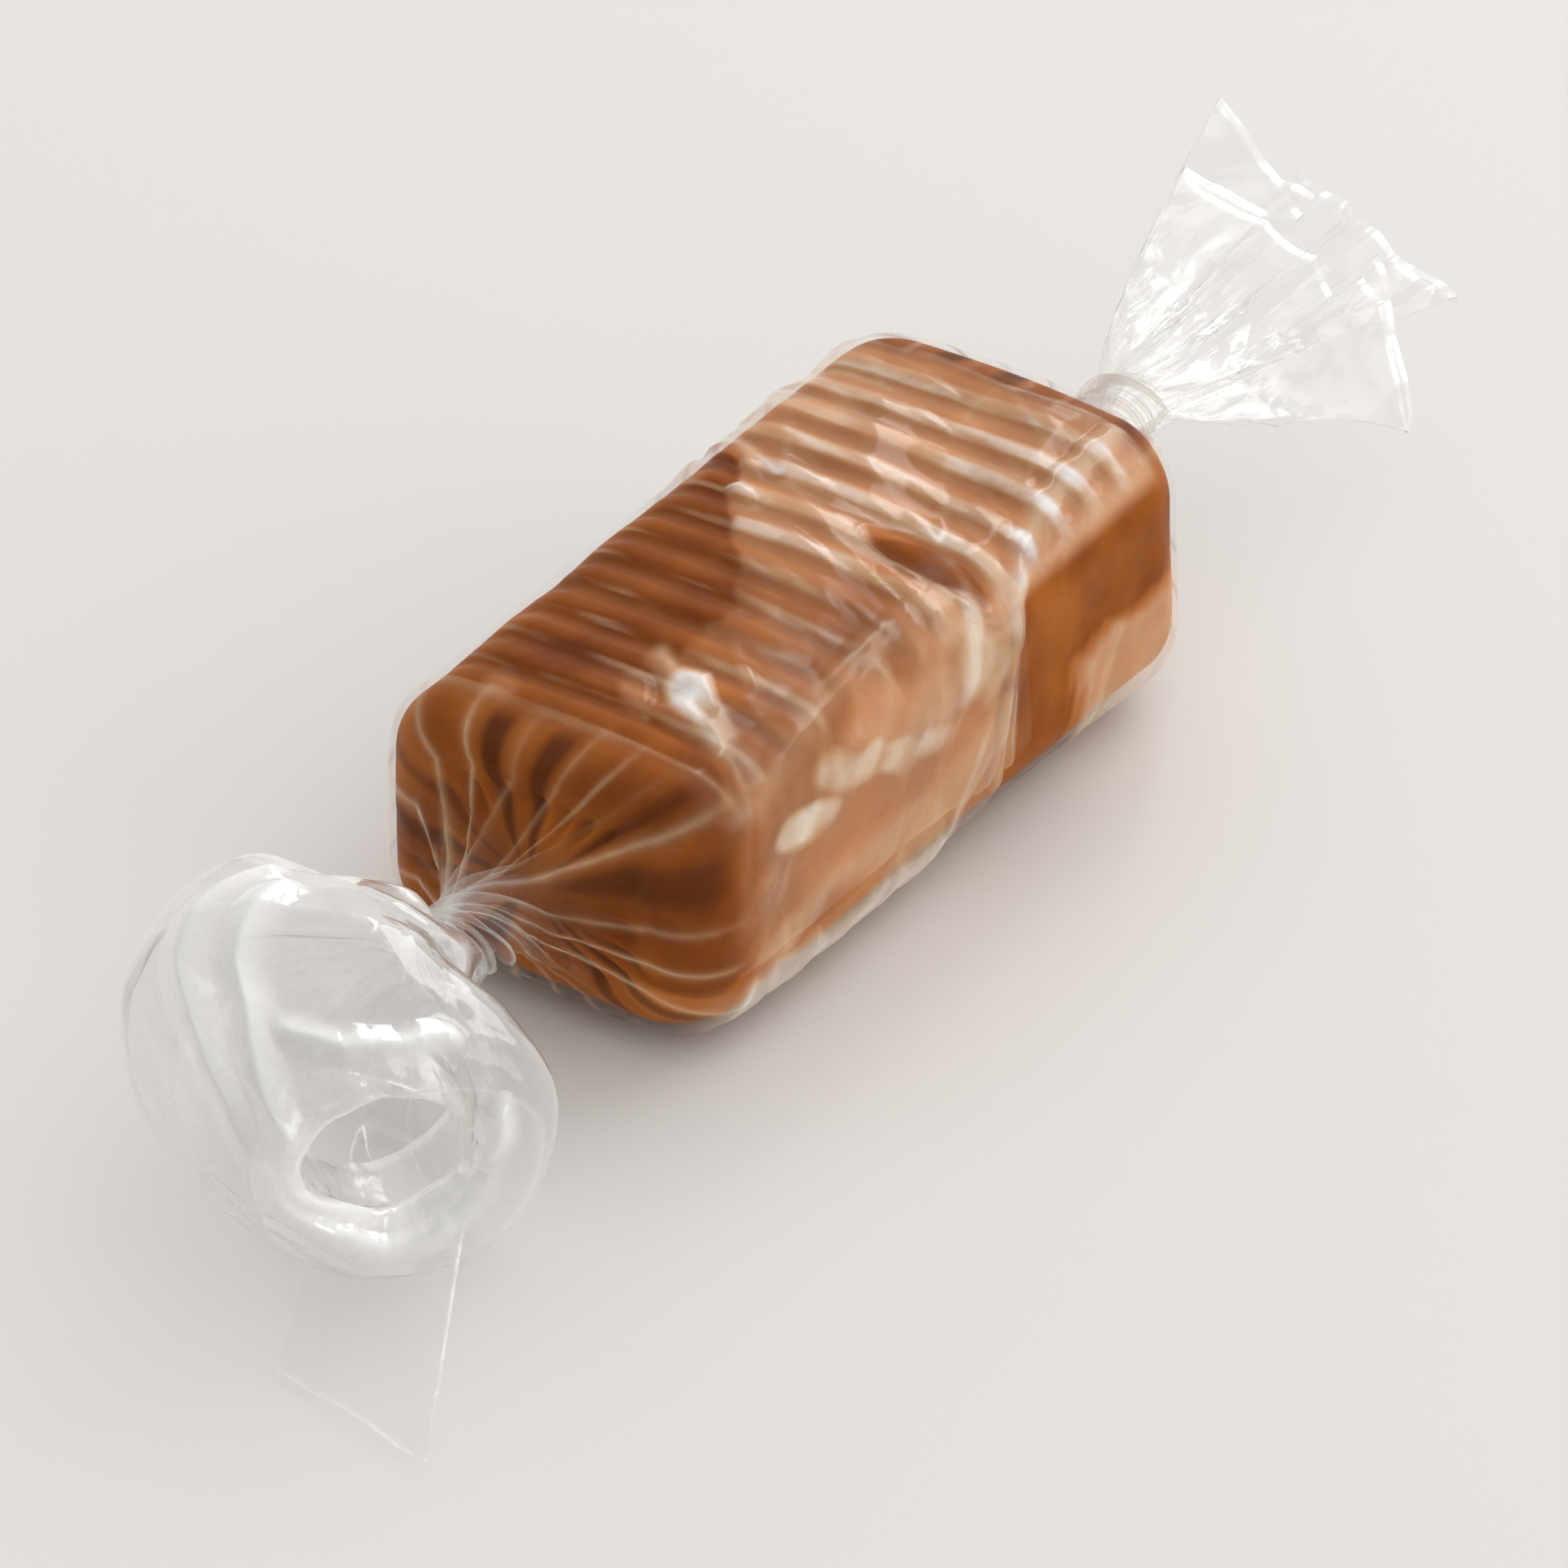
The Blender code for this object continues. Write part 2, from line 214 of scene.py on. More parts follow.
def block_outline(t, offset, inset):
    """The (y, z) of the outline at t and the direction it faces, grown by offset and drawn in by inset."""
    corner_y = np.interp(t, MARKS, [1, 1, 1, -1, -1, -1, -1, 1, 1, 1])
    corner_z = np.interp(t, MARKS, [0, 1, 1, 1, 1, -1, -1, -1, -1, 0])
    facing = np.interp(t, MARKS, np.radians([0, 0, 90, 90, 180, 180, 270, 270, 360, 360]))
    radius = SIDE_ROUND + offset - inset * 0.4
    half_width = BLOCK_WIDTH / 2 + offset - inset
    half_height = BLOCK_HEIGHT / 2 + offset - inset * END_TOP_SHARE
    y = corner_y * (half_width - radius) + radius * np.cos(facing)
    z = corner_z * (half_height - radius) + radius * np.sin(facing)
    lift = CROWN * (1.0 - (y / half_width) ** 2) * np.clip(z / half_height, 0.0, 1.0)
    return y, z + lift, facing


# %% [markdown]
# Where the film is gathered at an end it lies in small folds with sharp crests and creases. Drawn one
# by one they would be many curves. One triangle wave round the outline gives them all, and its uneven
# pace keeps them from looking like a cog. The film and the soft ends under it share it.

# %% Folds of the gathered film
FOLD_COUNT = 19


def fold_wave(t):
    """A triangle wave with an uneven pace round the outline: 1 on a crest and 0 in a crease."""
    uneven = 0.34 * np.sin(TURN * 3 * t + 1.0) + 0.22 * np.sin(TURN * 5 * t + 2.0)
    return np.abs(2.0 * ((FOLD_COUNT * t + uneven) % 1.0) - 1.0)


def shoulder_highlight_lines(t):
    """Thin pale lines on the sharpest creases of the gathered film, which are painted highlights, and
    almost clear film between.
    """
    strength = 0.55 + 0.45 * np.sin(TURN * 8 * t + 1.5 * np.sin(TURN * 3 * t))
    return 0.05 + 1.4 * strength * fold_wave(t) ** 6


# %% [markdown]
# The caramel was rolled out between ridged rollers and cut, so ridges run across its top. They could
# be a bump in the material, but they show in the outline too, so they are heights of the surface. The
# sweet is soft: its ridges waver, and its sides have pocks and dents.

# %% Ridges and pocks of the caramel
RIDGE_COUNT = 13
RIDGE_DEPTH = 0.20 * MM
POCK_COUNT = 46


def ridge_phase(x, y):
    """The ridges' angle at a place on the top: one turn a ridge, with a slow waver."""
    run = (x + BLOCK_LENGTH / 2 - END_ROUND) / (BLOCK_LENGTH - 2 * END_ROUND)
    return TURN * (RIDGE_COUNT * run + 0.10 * waves(x / MM, y / MM, seed=3, fineness=0.45))


def ridge_drop(x, y, facing_up):
    """How far the valleys between the ridges lie below the crests; they fade at edges and ends."""
    valley = (0.5 - 0.5 * np.cos(ridge_phase(x, y))) ** 1.3
    along = ease((BLOCK_LENGTH / 2 - np.abs(x)) / (2.4 * MM) - 0.3)
    return RIDGE_DEPTH * valley * along * facing_up


def pocks(x, y, z):
    """Small dents at drawn places on the block: a sum of bell-shaped pits."""
    rng = np.random.default_rng(11)
    half = np.array([BLOCK_LENGTH, BLOCK_WIDTH, BLOCK_HEIGHT]) / 2
    total = np.zeros(x.shape)
    for _ in range(POCK_COUNT):
        place = rng.uniform(-1, 1, 3) * half
        side = rng.integers(1, 3)
        place[side] = math.copysign(half[side], place[side])
        width = rng.uniform(0.35, 1.3) * MM
        depth = rng.uniform(0.1, 0.24) * width
        gap = (x - place[0]) ** 2 + (y - place[1]) ** 2 + (z - place[2]) ** 2
        total += depth * np.exp(-gap / (2 * (width * 0.6) ** 2))
    return total


# %% [markdown]
# Where the film clings to the block, the caramel looks dark and wet. Where it stands off there is an air
# gap, so light is mirrored three times and the caramel looks pale and veiled. That paleness is painted
# sheen: a paler caramel colour and a milky haze on the film. The stand-off is a map over the film. It
# drives the shape and, through mesh attributes, the film's material and the caramel's painted sheen. The
# arc, the free edge and the bright windows lie where the photograph shows them, by x and the distance
# round in millimetres; the windows and the pale lines along the folds are painted highlights. The rest is
# noise with fixed seeds.

# %% Where the film stands off the block
VEIL_EDGE_X = np.array([-16.5, -13.0, -11.6, -7.7, -1.9, 2.0, 5.8, 16.5]) * MM
VEIL_EDGE_Y = np.array([-9.0, -6.0, -1.0, 0.1, 0.6, 3.6, 7.2, 8.5]) * MM
FREE_EDGE = MARKS[4] + 0.88 * (MARKS[5] - MARKS[4])
ARC_FOLD = ((2.4, 26.4), (3.0, 23.6), (3.5, 21.0), (4.2, 19.4), (5.6, 18.3), (8.0, 17.7), (13.5, 17.4))
EDGE_FOLD = ((-14.5, 19.6), (-9.0, 18.3), (-3.0, 17.6), (1.5, 17.9), (3.4, 20.2))
DENT = (2.6, 16.4, 0.95, 2.6, 0.0)
# Painted highlights: bright patches of whitish haze on the film that stand for the window's reflection.
WINDOW_HIGHLIGHTS = ((1.2, 20.3, 1.5, 1.7, 0.0), (-4.8, 21.0, 4.0, 0.8, 0.28), (-10.3, 21.1, 1.9, 0.65, 0.1),
           (-10.3, 14.6, 1.6, 1.4, -1.08))


def near_path(u, v, path, width):
    """1 along a path of straight lines between (u, v) places, and down to 0 at a width beside it."""
    gap = np.inf
    for (start_u, start_v), (end_u, end_v) in zip(path[:-1], path[1:]):
        along_u, along_v = end_u - start_u, end_v - start_v
        share = ((u - start_u) * along_u + (v - start_v) * along_v) / (along_u ** 2 + along_v ** 2)
        share = np.clip(share, 0.0, 1.0)
        gap = np.minimum(gap, np.hypot(u - start_u - share * along_u, v - start_v - share * along_v))
    return np.clip(1.0 - gap / width, 0.0, 1.0)


def patch(x, t, place, ragged, crispness=3.0):
    """1 inside an ellipse on the film and 0 outside, its edge moved in and out by ragged.

    The place is the centre's x and distance round, the half length, the half width and the slope.
    """
    centre_x, centre_s, half_length, half_width, slope = place
    off_x = x / MM - centre_x
    off_s = t * ROUND_LENGTH / MM - centre_s - slope * off_x
    distance = np.hypot(off_x / half_length, off_s / half_width)
    return ease((1.0 + ragged - distance) * crispness + 0.5)


def stand_off(x, y, z, facing, t):
    """0 where the film clings, and 1 or a little more where it stands clear, all round the block."""
    up, right = np.sin(facing), -np.cos(facing)
    run = x / (2 * WRAP_HALF) + 0.5
    ragged = 0.8 * facets(t * 1.7, run, 9, 16, seed=21) + 0.4 * facets(t + run, run, 47, 35, seed=23)
    edge = np.interp(x, VEIL_EDGE_X, VEIL_EDGE_Y)
    top = ease((edge - y + ragged * MM) / (0.4 * MM) + 0.5)
    top = top * mixed(0.28, 1.3, ease((x / MM + 0.5 + 2.0 * ragged) / 4.0 + 0.5))
    islands = ease(2.4 * waves(x / MM, y / MM, seed=24, fineness=1.1) - 1.5)
    top = np.maximum(top, 0.7 * islands) * (1.0 - patch(x, t, DENT, 0.15 * ragged))
    top = top * ease((14.2 - x / MM + 0.5 * ragged) / 0.8)
    arc_x, arc_round = np.transpose(ARC_FOLD[::-1])
    limit = np.interp(t * ROUND_LENGTH / MM, arc_round, arc_x)
    flap = ease((x / MM + 13.6) / 1.2) * ease((limit - x / MM) / 0.4 + 0.5)
    flap = flap * (0.38 + 0.55 * ease(2.0 * facets(t, run, 25, 9, seed=25) + 0.5))
    pocket = ease((x / MM - 7.6 + ragged) / 0.8) * ease((6.0 - z / MM + 0.6 * ragged) / 0.6)
    low = ease((3.6 - z / MM + 0.4 * ragged) / 0.8) * ease((0.0 - x / MM) / 1.5)
    side = np.maximum(np.maximum(flap, 0.9 * pocket), 1.5 * low)
    loose = 0.5 * ease(1.4 * waves(x / MM, (y + 1.7 * z) / MM, seed=22, fineness=0.33) + 0.4)
    on_top, on_side = ease(up * 3 - 1.2), ease(right * 3 - 1.2)
    return mixed(mixed(loose, side, on_side), top, on_top)


def crease_lines(height):
    """1 on the sharpest creases of a map of heights: where its slope changes from point to point."""
    bend = np.abs(np.roll(height, 1, axis=1) - 2 * height + np.roll(height, -1, axis=1))
    rows = np.pad(height, ((1, 1), (0, 0)), mode="edge")
    bend = bend + np.abs(rows[:-2] - 2 * height + rows[2:])
    for _ in range(2):
        rows = np.pad(bend, ((1, 1), (0, 0)), mode="edge")
        bend = (2 * bend + np.roll(bend, 1, axis=1) + np.roll(bend, -1, axis=1) + rows[:-2] + rows[2:]) / 6
    return np.clip(bend / max(np.percentile(bend, 99.0), 1e-12), 0.0, 1.0) ** 1.5


def window_highlights(x, t):
    """Up to 1 in the few painted highlights: patches of whitish haze that stand for the window's
    reflection, where the film also bulges a little.
    """
    run = x / (2 * WRAP_HALF) + 0.5
    ragged = 0.34 * facets(t * 1.3, run, 31, 27, seed=27)
    streaks = 0.75 + 0.40 * facets(t + 0.2 * run, run, 41, 40, seed=28)
    return streaks * np.max([patch(x, t, place, ragged, 1.1) for place in WINDOW_HIGHLIGHTS], axis=0)


# %% [markdown]
# The block is cut from a slab. Its soft ends sag and dome a little, and the gathered film presses
# grooves into them. A box could be sculpted by hand. Here one grid of points holds it all, with rows
# that run along the block and shrink over each end, and every dent is one more term of a sum.

# %% The caramel block
CARAMEL_GROWTH = 0.28 * MM
CARAMEL_END_GROWTH = 0.60 * MM
CARAMEL_COLUMNS = 242
CARAMEL_ROWS = 330
CARAMEL_ROUND_ROWS = 15
CARAMEL_FACE_ROWS = 21


def end_rounding(rows):
    """How far out each row of a rounded end lies, from 0 to the round's radius: R sin(a)."""
    return END_ROUND * np.sin(np.linspace(0.0, math.pi / 2, rows + 1)[1:])


def build_caramel():
    """The block's surface: rows along x with rounded ends, drawn down to a point on each end face."""
    half = BLOCK_LENGTH / 2 + CARAMEL_END_GROWTH
    straight = half - END_ROUND
    rounding = straight + end_rounding(CARAMEL_ROUND_ROWS)
    body = np.linspace(-straight, straight, CARAMEL_ROWS)
    x = np.concatenate([-rounding[::-1], body, rounding])
    shrink = np.ones(len(x))
    face = np.linspace(1.0, 0.04, CARAMEL_FACE_ROWS + 1)[1:]
    x = np.concatenate([np.full(len(face), -half), x, np.full(len(face), half)])[:, None]
    shrink = np.concatenate([face[::-1], shrink, face])[:, None]
    t = (np.arange(CARAMEL_COLUMNS) / CARAMEL_COLUMNS)[None, :]
    y, z, facing = block_outline(t, CARAMEL_GROWTH, end_inset(x, half))
    y, z, x = y * shrink, z * shrink, x + np.zeros_like(y)
    up = ease((np.sin(facing) - 0.62) / 0.36) * ease(shrink * 4 - 3)
    sunk = ridge_drop(x, y, up) + pocks(x, y, z)
    sunk = sunk + 0.07 * MM * (1.0 + waves(x / MM, t * 40, seed=5, fineness=0.35))
    dents = 1.0 + facets(t, x / (2 * half) + 0.5, 13, 11, seed=6)
    sunk = sunk + 0.09 * MM * dents * (1 - 0.8 * up)
    dome = 0.25 * MM * (1.0 - shrink ** 2) * (1.0 + 0.6 * waves(y / MM, z / MM, seed=8, fineness=0.7))
    groove = 1.0 - fold_wave(t)
    pressed = 0.55 * MM * groove * ease(5 * (1 - shrink)) * ease(2.5 * (shrink - 0.45))
    x = x + np.sign(x) * (dome - pressed)
    y, z = y - np.cos(facing) * sunk * shrink, z - np.sin(facing) * sunk * shrink
    points = settled(np.stack([x, y, z], axis=-1)) + LIFT
    # Painted sheen: where the film stands off, the caramel gets a paler colour for the light that the air
    # gap mirrors.
    clear = stand_off(x, y, z + MIDDLE_HEIGHT, facing, t)
    # Painted shade: dark wedges along the grooves that the pleats press into each end, near its rim.
    shade_wedges = ease(2.4 * groove - 0.9) * ease(0.7 + np.sin(TURN * 5 * t + 1.0))
    rim = ease((np.abs(x) - BLOCK_LENGTH / 2 + 1.8 * MM) / (1.2 * MM))
    shade_wedges = 1.3 * shade_wedges * rim * ease(3.0 * (shrink - 0.1))
    # Painted shade: darker in the valleys and pocks on top, and in the wedges on the ends.
    painted_shade = 0.8 * np.clip(sunk / RIDGE_DEPTH, 0, 1) * up + shade_wedges
    return grid_mesh("caramel_block", points, {"painted_shade": painted_shade, "gap_sheen": clear}, closed_ends=True)


caramel_block = build_caramel()


# %% [markdown]
# The film goes once round the block, like a label round a tin. A cloth simulation could drape it, but
# its folds would not fall where the photograph has them. So it is the block's outline, grown by an
# offset: small where the film clings, larger where it stands off and in folds, and sagging below.

# %% The film's surface round the block
def wrap_surface(x, t):
    """Points of the film, and its haze and painted highlights: 0 where it clings, 1 where it stands off, 2
    in a painted window highlight.
    """
    y, z, facing = block_outline(t, 0.0, end_inset(x, WRAP_HALF))
    x = x + np.zeros_like(y)
    clear = stand_off(x, y, z + MIDDLE_HEIGHT, facing, t)
    # The painted window highlights: the film bulges a little there and gets whitish haze.
    window = window_highlights(x, t)
    up = ease((np.sin(facing) - 0.62) / 0.36)
    run = x / (2 * WRAP_HALF) + 0.5
    gathered = ease((np.abs(x) / MM - 12.6) / 3.4)
    cling = -0.30 * ridge_drop(x, y, up) * (1 - np.minimum(clear, 1.0))
    band = 0.5 + 0.5 * np.cos(ridge_phase(x, y) + 0.5 * waves(x / MM, y / MM, seed=26, fineness=0.6) + 2.6)
    ripple = 0.06 * MM * band * clear * up
    coarse = facets(t + 0.05 * np.sin(9 * run), run, 13, 13, seed=31)
    crease = MM * (0.20 * coarse + 0.05 * facets(t + 0.4 * run, run, 31, 44, seed=32))
    place = (x / MM, t * ROUND_LENGTH / MM)
    arc, edge = near_path(*place, ARC_FOLD, 0.62), near_path(*place, EDGE_FOLD, 0.70)
    folds = 0.26 * MM * arc + 0.16 * MM * edge
    offset = FILM_CLOSE + 0.16 * MM * clear + cling + ripple + crease * (0.10 + 0.80 * clear) + folds
    offset = offset + 0.08 * MM * window
    pleated = 0.38 * MM - 0.06 * MM * (1 - fold_wave(t)) + 0.1 * crease
    offset = np.clip(mixed(offset, pleated, gathered), 0.32 * MM, 0.80 * MM)
    under = ease((-np.sin(facing) - 0.75) / 0.2)
    sag = 0.26 * MM * ease((11.5 - np.abs(x) / MM) / 2) * ease((5.2 - np.abs(y) / MM) / 1.2)
    offset = mixed(offset, 0.64 * MM + 0.2 * crease + sag, under)
    y, z = y + np.cos(facing) * offset, z + np.sin(facing) * offset
    # Painted sheen: bands of pale haze over the ridge valleys on top, for light mirrored by the rippled
    # film.
    streaky = ease(0.6 + 1.2 * facets(t + 0.1 * run, run, 19, 41, seed=33))
    stripes = ease(2.4 * band - 1.1) * (0.45 + 0.55 * streaky)
    haze_and_highlight = clear * mixed(1.0, 0.36 + 0.85 * stripes, up)
    # Painted highlights: thin pale lines on the ridge crests where the film clings.
    crests = ease((band - 0.86) / 0.10) * streaky * up * (1.0 - np.minimum(clear, 1.0))
    # Painted highlights: whitish haze in the window patches and pale lines along the arc and edge folds.
    haze_and_highlight = np.maximum(haze_and_highlight, 2.1 * window) + 0.8 * arc + 0.35 * edge + 0.55 * crests
    haze_and_highlight = haze_and_highlight + crease_lines(coarse) * (0.25 + 0.4 * clear)
    haze_and_highlight = mixed(haze_and_highlight, shoulder_highlight_lines(t), gathered)
    return np.stack([x, y, z], axis=-1), haze_and_highlight


# %% [markdown]
# At each end the block's outline blends into the outline of a bundle of seven pleats. A pleat is a
# fold of film: out along one side, round its tip and back. The bundle turns once round between the
# shoulder and the loose end, which is the twist. A place past the block is named by its stage: 0 at
# the block, 1 where the shoulder meets the neck, 2 at the neck's end and 3 at the cut edge.

# %% The pleats of the twists
PLEAT_COUNT = 7
TIP_STEPS = 60
FRONT = {
    "outward": -1.0,
    "roundness": 0.9,
    "pleats": ((-20, 1.0), (30, 0.93), (78, 0.88), (126, 0.92), (174, 1.0), (222, 0.9), (284, 0.92)),
}
REAR = {
    "outward": 1.0,
    "roundness": 0.35,
    "pleats": ((-8, 1.0), (28, 0.92), (76, 0.36), (122, 0.36), (166, 0.86), (202, 1.0), (264, 0.42)),
}


def pleat_place(t):
    """The pleat that t lies in, from 0, and the share of the way through it: 0.5 is its tip."""
    number = np.minimum((t * PLEAT_COUNT).astype(int), PLEAT_COUNT - 1)
    return number, t * PLEAT_COUNT - number


def pleat_out(t, end):
    """How far out towards the pleat's tip t is, from 0 to 1: between a flat fold and a round loop."""
    share = pleat_place(t)[1]
    flat = 1.0 - np.abs(2.0 * share - 1.0)
    return mixed(flat, 0.5 - 0.5 * np.cos(TURN * share), end["roundness"])


def pleat_bearing(t, end):
    """The pleat's own direction, turning to the middle of the gap beside it in its outer sevenths."""
    bearings = np.radians(np.transpose(end["pleats"])[0])
    before = np.append(bearings[-1] - TURN, bearings)
    gaps = (before + np.append(bearings, bearings[0] + TURN)) / 2
    number, share = pleat_place(t)
    entering = np.clip(1.0 - 7.0 * share, 0.0, 1.0)
    leaving = np.clip(7.0 * share - 6.0, 0.0, 1.0)
    own = bearings[number]
    return own + (gaps[number] - own) * entering + (gaps[number + 1] - own) * leaving


def tip_radius(bearing, share, reach, core, curl):
    """How far a pleat's tip gets before its curling path would meet the floor."""
    steps = np.linspace(0.0, 1.0, TIP_STEPS)[:, None, None]
    radius = core + (reach - core) * share * steps
    angle = bearing + curl * (radius - core) / np.maximum(reach - core, core)
    clear = radius * np.sin(angle) - PLEAT_HALF > LOWEST
    reached = np.sum(np.cumprod(clear, axis=0), axis=0) - 1
    return core + (reach - core) * share * np.clip(reached, 0, None) / (TIP_STEPS - 1)


def pleated_outline(t, reach, core, curl, end, loop, bend=0.0):
    """The (y, z) of the bundle at t: radius grows from core to tip, and the bearing turns by curl.

    Each point then moves across its pleat: its two layers apart by loop, and both together by bend.
    """
    number, place = pleat_place(t)
    degrees, shares = np.transpose(end["pleats"])
    tip = tip_radius(np.radians(degrees)[number], shares[number], reach, core, curl)
    radius = core + (tip - core) * pleat_out(t, end)
    angle = pleat_bearing(t, end) + curl * (radius - core) / np.maximum(reach - core, core)
    across = bend - np.sin(TURN * place) * loop
    return radius * np.cos(angle) - across * np.sin(angle), radius * np.sin(angle) + across * np.cos(angle)


def twist_angle(stage):
    """The twist's angle so far: a share of one full turn that grows smoothly with the stage."""
    return TURN * ease((stage - TWIST_START) / (TWIST_END - TWIST_START))


def turned(y, z, stage, end):
    """The twist: y and z turned by its angle, the one way at the rear and the other at the front."""
    turn = end["outward"] * twist_angle(stage)
    return y * np.cos(turn) - z * np.sin(turn), y * np.sin(turn) + z * np.cos(turn)


def neck_surface(stage, t, end):
    """Points of the film past the block: stage 0 to 1 is the shoulder, and 1 to 2 the neck.

    On the shoulder the block's outline blends into the neck's and is drawn in between the pleats.
    """
    past_block = np.interp(stage, [0, 1, 2], [0.0, SHOULDER_LENGTH, NECK_START])
    x = end["outward"] * (WRAP_HALF + past_block)
    start = wrap_surface(np.array([[end["outward"] * WRAP_HALF]]), t)[0]
    on_shoulder = np.clip(stage, 0.0, 1.0)
    neck_y, neck_z = pleated_outline(t, NECK_RADIUS, NECK_CORE, 0.0, end, PLEAT_HALF)
    fine = 1.0 - 0.10 * (1.0 - fold_wave(t)) * ease(stage * 2)
    blend = 0.5 * ease(on_shoulder) + 0.5 * (1.0 - (1.0 - on_shoulder) ** 2)
    between = (1.0 - pleat_out(t, end)) ** 1.5
    drawn = 1.0 - 0.8 * SHOULDER_DEPTH * between * np.sin(math.pi * on_shoulder)
    drawn = drawn - 0.15 * (1.0 - fold_wave(t)) * ease(on_shoulder * 4) * (1.0 - on_shoulder ** 2)
    y = mixed(start[..., 1], neck_y * fine, blend) * drawn
    z = mixed(start[..., 2], neck_z * fine, blend) * drawn
    y, z = turned(y, z, stage, end)
    return np.stack([x + np.zeros_like(y), y, z], axis=-1)


# %% [markdown]
# The rear end lies flat: a fan of pleats with a straight cut edge. It could be a flat sheet with its
# folds painted on, but its layers show through one another. So the bundle of pleats is grown outward:
# each pleat widens, flattens and ends at its own length.

# %% The rear fan
FAN_LENGTH = 14.2 * MM
FAN_REACH = 8.0 * MM
FAN_CURL = math.radians(12)
FAN_LOOP = 0.13 * MM
FAN_SHORTER = (0.3, 0.0, 2.0, 3.0, 1.5, 4.6, 3.0)


def past_neck(stage):
    """The share of the way from the neck's end to the cut edge: 0 before stage 2, and 1 at stage 3."""
    return np.clip(stage - 2.0, 0.0, 1.0)


def fan_bend(beyond, t):
    """How far both layers of a pleat are bent across it: long folds that fan out from the neck."""
    out = pleat_out(t, REAR)
    place = (pleat_place(t)[0] + 0.5 * out) / PLEAT_COUNT
    long_folds = facets(place + 0.01 * np.sin(8 * beyond), beyond, 63, 3, seed=43)
    short_folds = facets(place + 0.04 * beyond, beyond, 126, 15, seed=44)
    near_neck = ease(beyond * 4) * (1.0 - 0.85 * ease((beyond - 0.3) / 0.3))
    return MM * out * (0.24 * ease(beyond * 3) * long_folds + 0.34 * near_neck * short_folds)


def fan_surface(stage, t):
    """Points of the fan: the pleats grow from the neck, flatten, and end at a straight cut."""
    beyond = past_neck(stage)
    fine = 1.0 - 0.10 * (1.0 - fold_wave(t))
    reach = NECK_RADIUS + (FAN_REACH - NECK_RADIUS) * beyond ** 0.8
    core = NECK_CORE * (1 + CORE_GROWTH * beyond)
    loop = mixed(PLEAT_HALF, FAN_LOOP, ease(beyond * 2.5))
    y, z = pleated_outline(t, reach, core, FAN_CURL * beyond, REAR, loop, fan_bend(beyond, t))
    y, z = turned(y * fine, z * fine, stage, REAR)
    out = pleat_out(t, REAR)
    shorter = np.interp(t * PLEAT_COUNT, np.arange(PLEAT_COUNT) + 0.5, FAN_SHORTER, period=PLEAT_COUNT)
    x = WRAP_HALF + NECK_START + FAN_LENGTH * beyond - MM * shorter * out * beyond ** 2
    return np.stack([x + np.zeros_like(y), y, z], axis=-1)


# %% [markdown]
# The front end is a puffed bag whose mouth turns towards the -Y side. It is walked like a vase's
# profile: the heading starts outward, turns until it runs back in over the front, and rolls over at
# the rim into an inner wall. The whole section turns sideways on the way, so the mouth does too.

# %% The front bag
BAG_HEADINGS = ((0.0, 84), (2.2, 66), (9.5, 4), (15.5, -58), (16.8, -110), (18.2, -172), (22.0, -186))
BAG_WALK = BAG_HEADINGS[-1][0]
BAG_FLATNESS = 0.90
BAG_SIDEWAYS = 0.8 * MM
BAG_DIP = 0.1 * MM
MOUTH_TURN = math.radians(52)
MOUTH_ASIDE = 4.2 * MM
BAG_BEARING = math.radians(-46)
BAG_SEAM = -240.0
BAG_MM_PER_DEGREE = 0.1
MOUTH_FOLDS = (
    ((66, 7.5), (43, 10.8), (38, 12.8), (32, 14.4), (15, 16.1), (-52, 17.0), (-101, 17.2), (-173, 17.6),
     (-215, 16.2)),
    ((76, 8.6), (59, 11.4), (56, 12.6), (49, 13.9), (35, 16.0), (-48, 17.9), (-102, 18.4), (-150, 18.2)),
    ((62, 13.7), (75, 14.5), (95, 14.6), (112, 14.2)),
)


def bag_bearing(stage, t):
    """The bearing of t round the bag, which starts at the twist's: 0 is towards +Y and 90 degrees up."""
    return TURN * t + BAG_BEARING - twist_angle(stage)


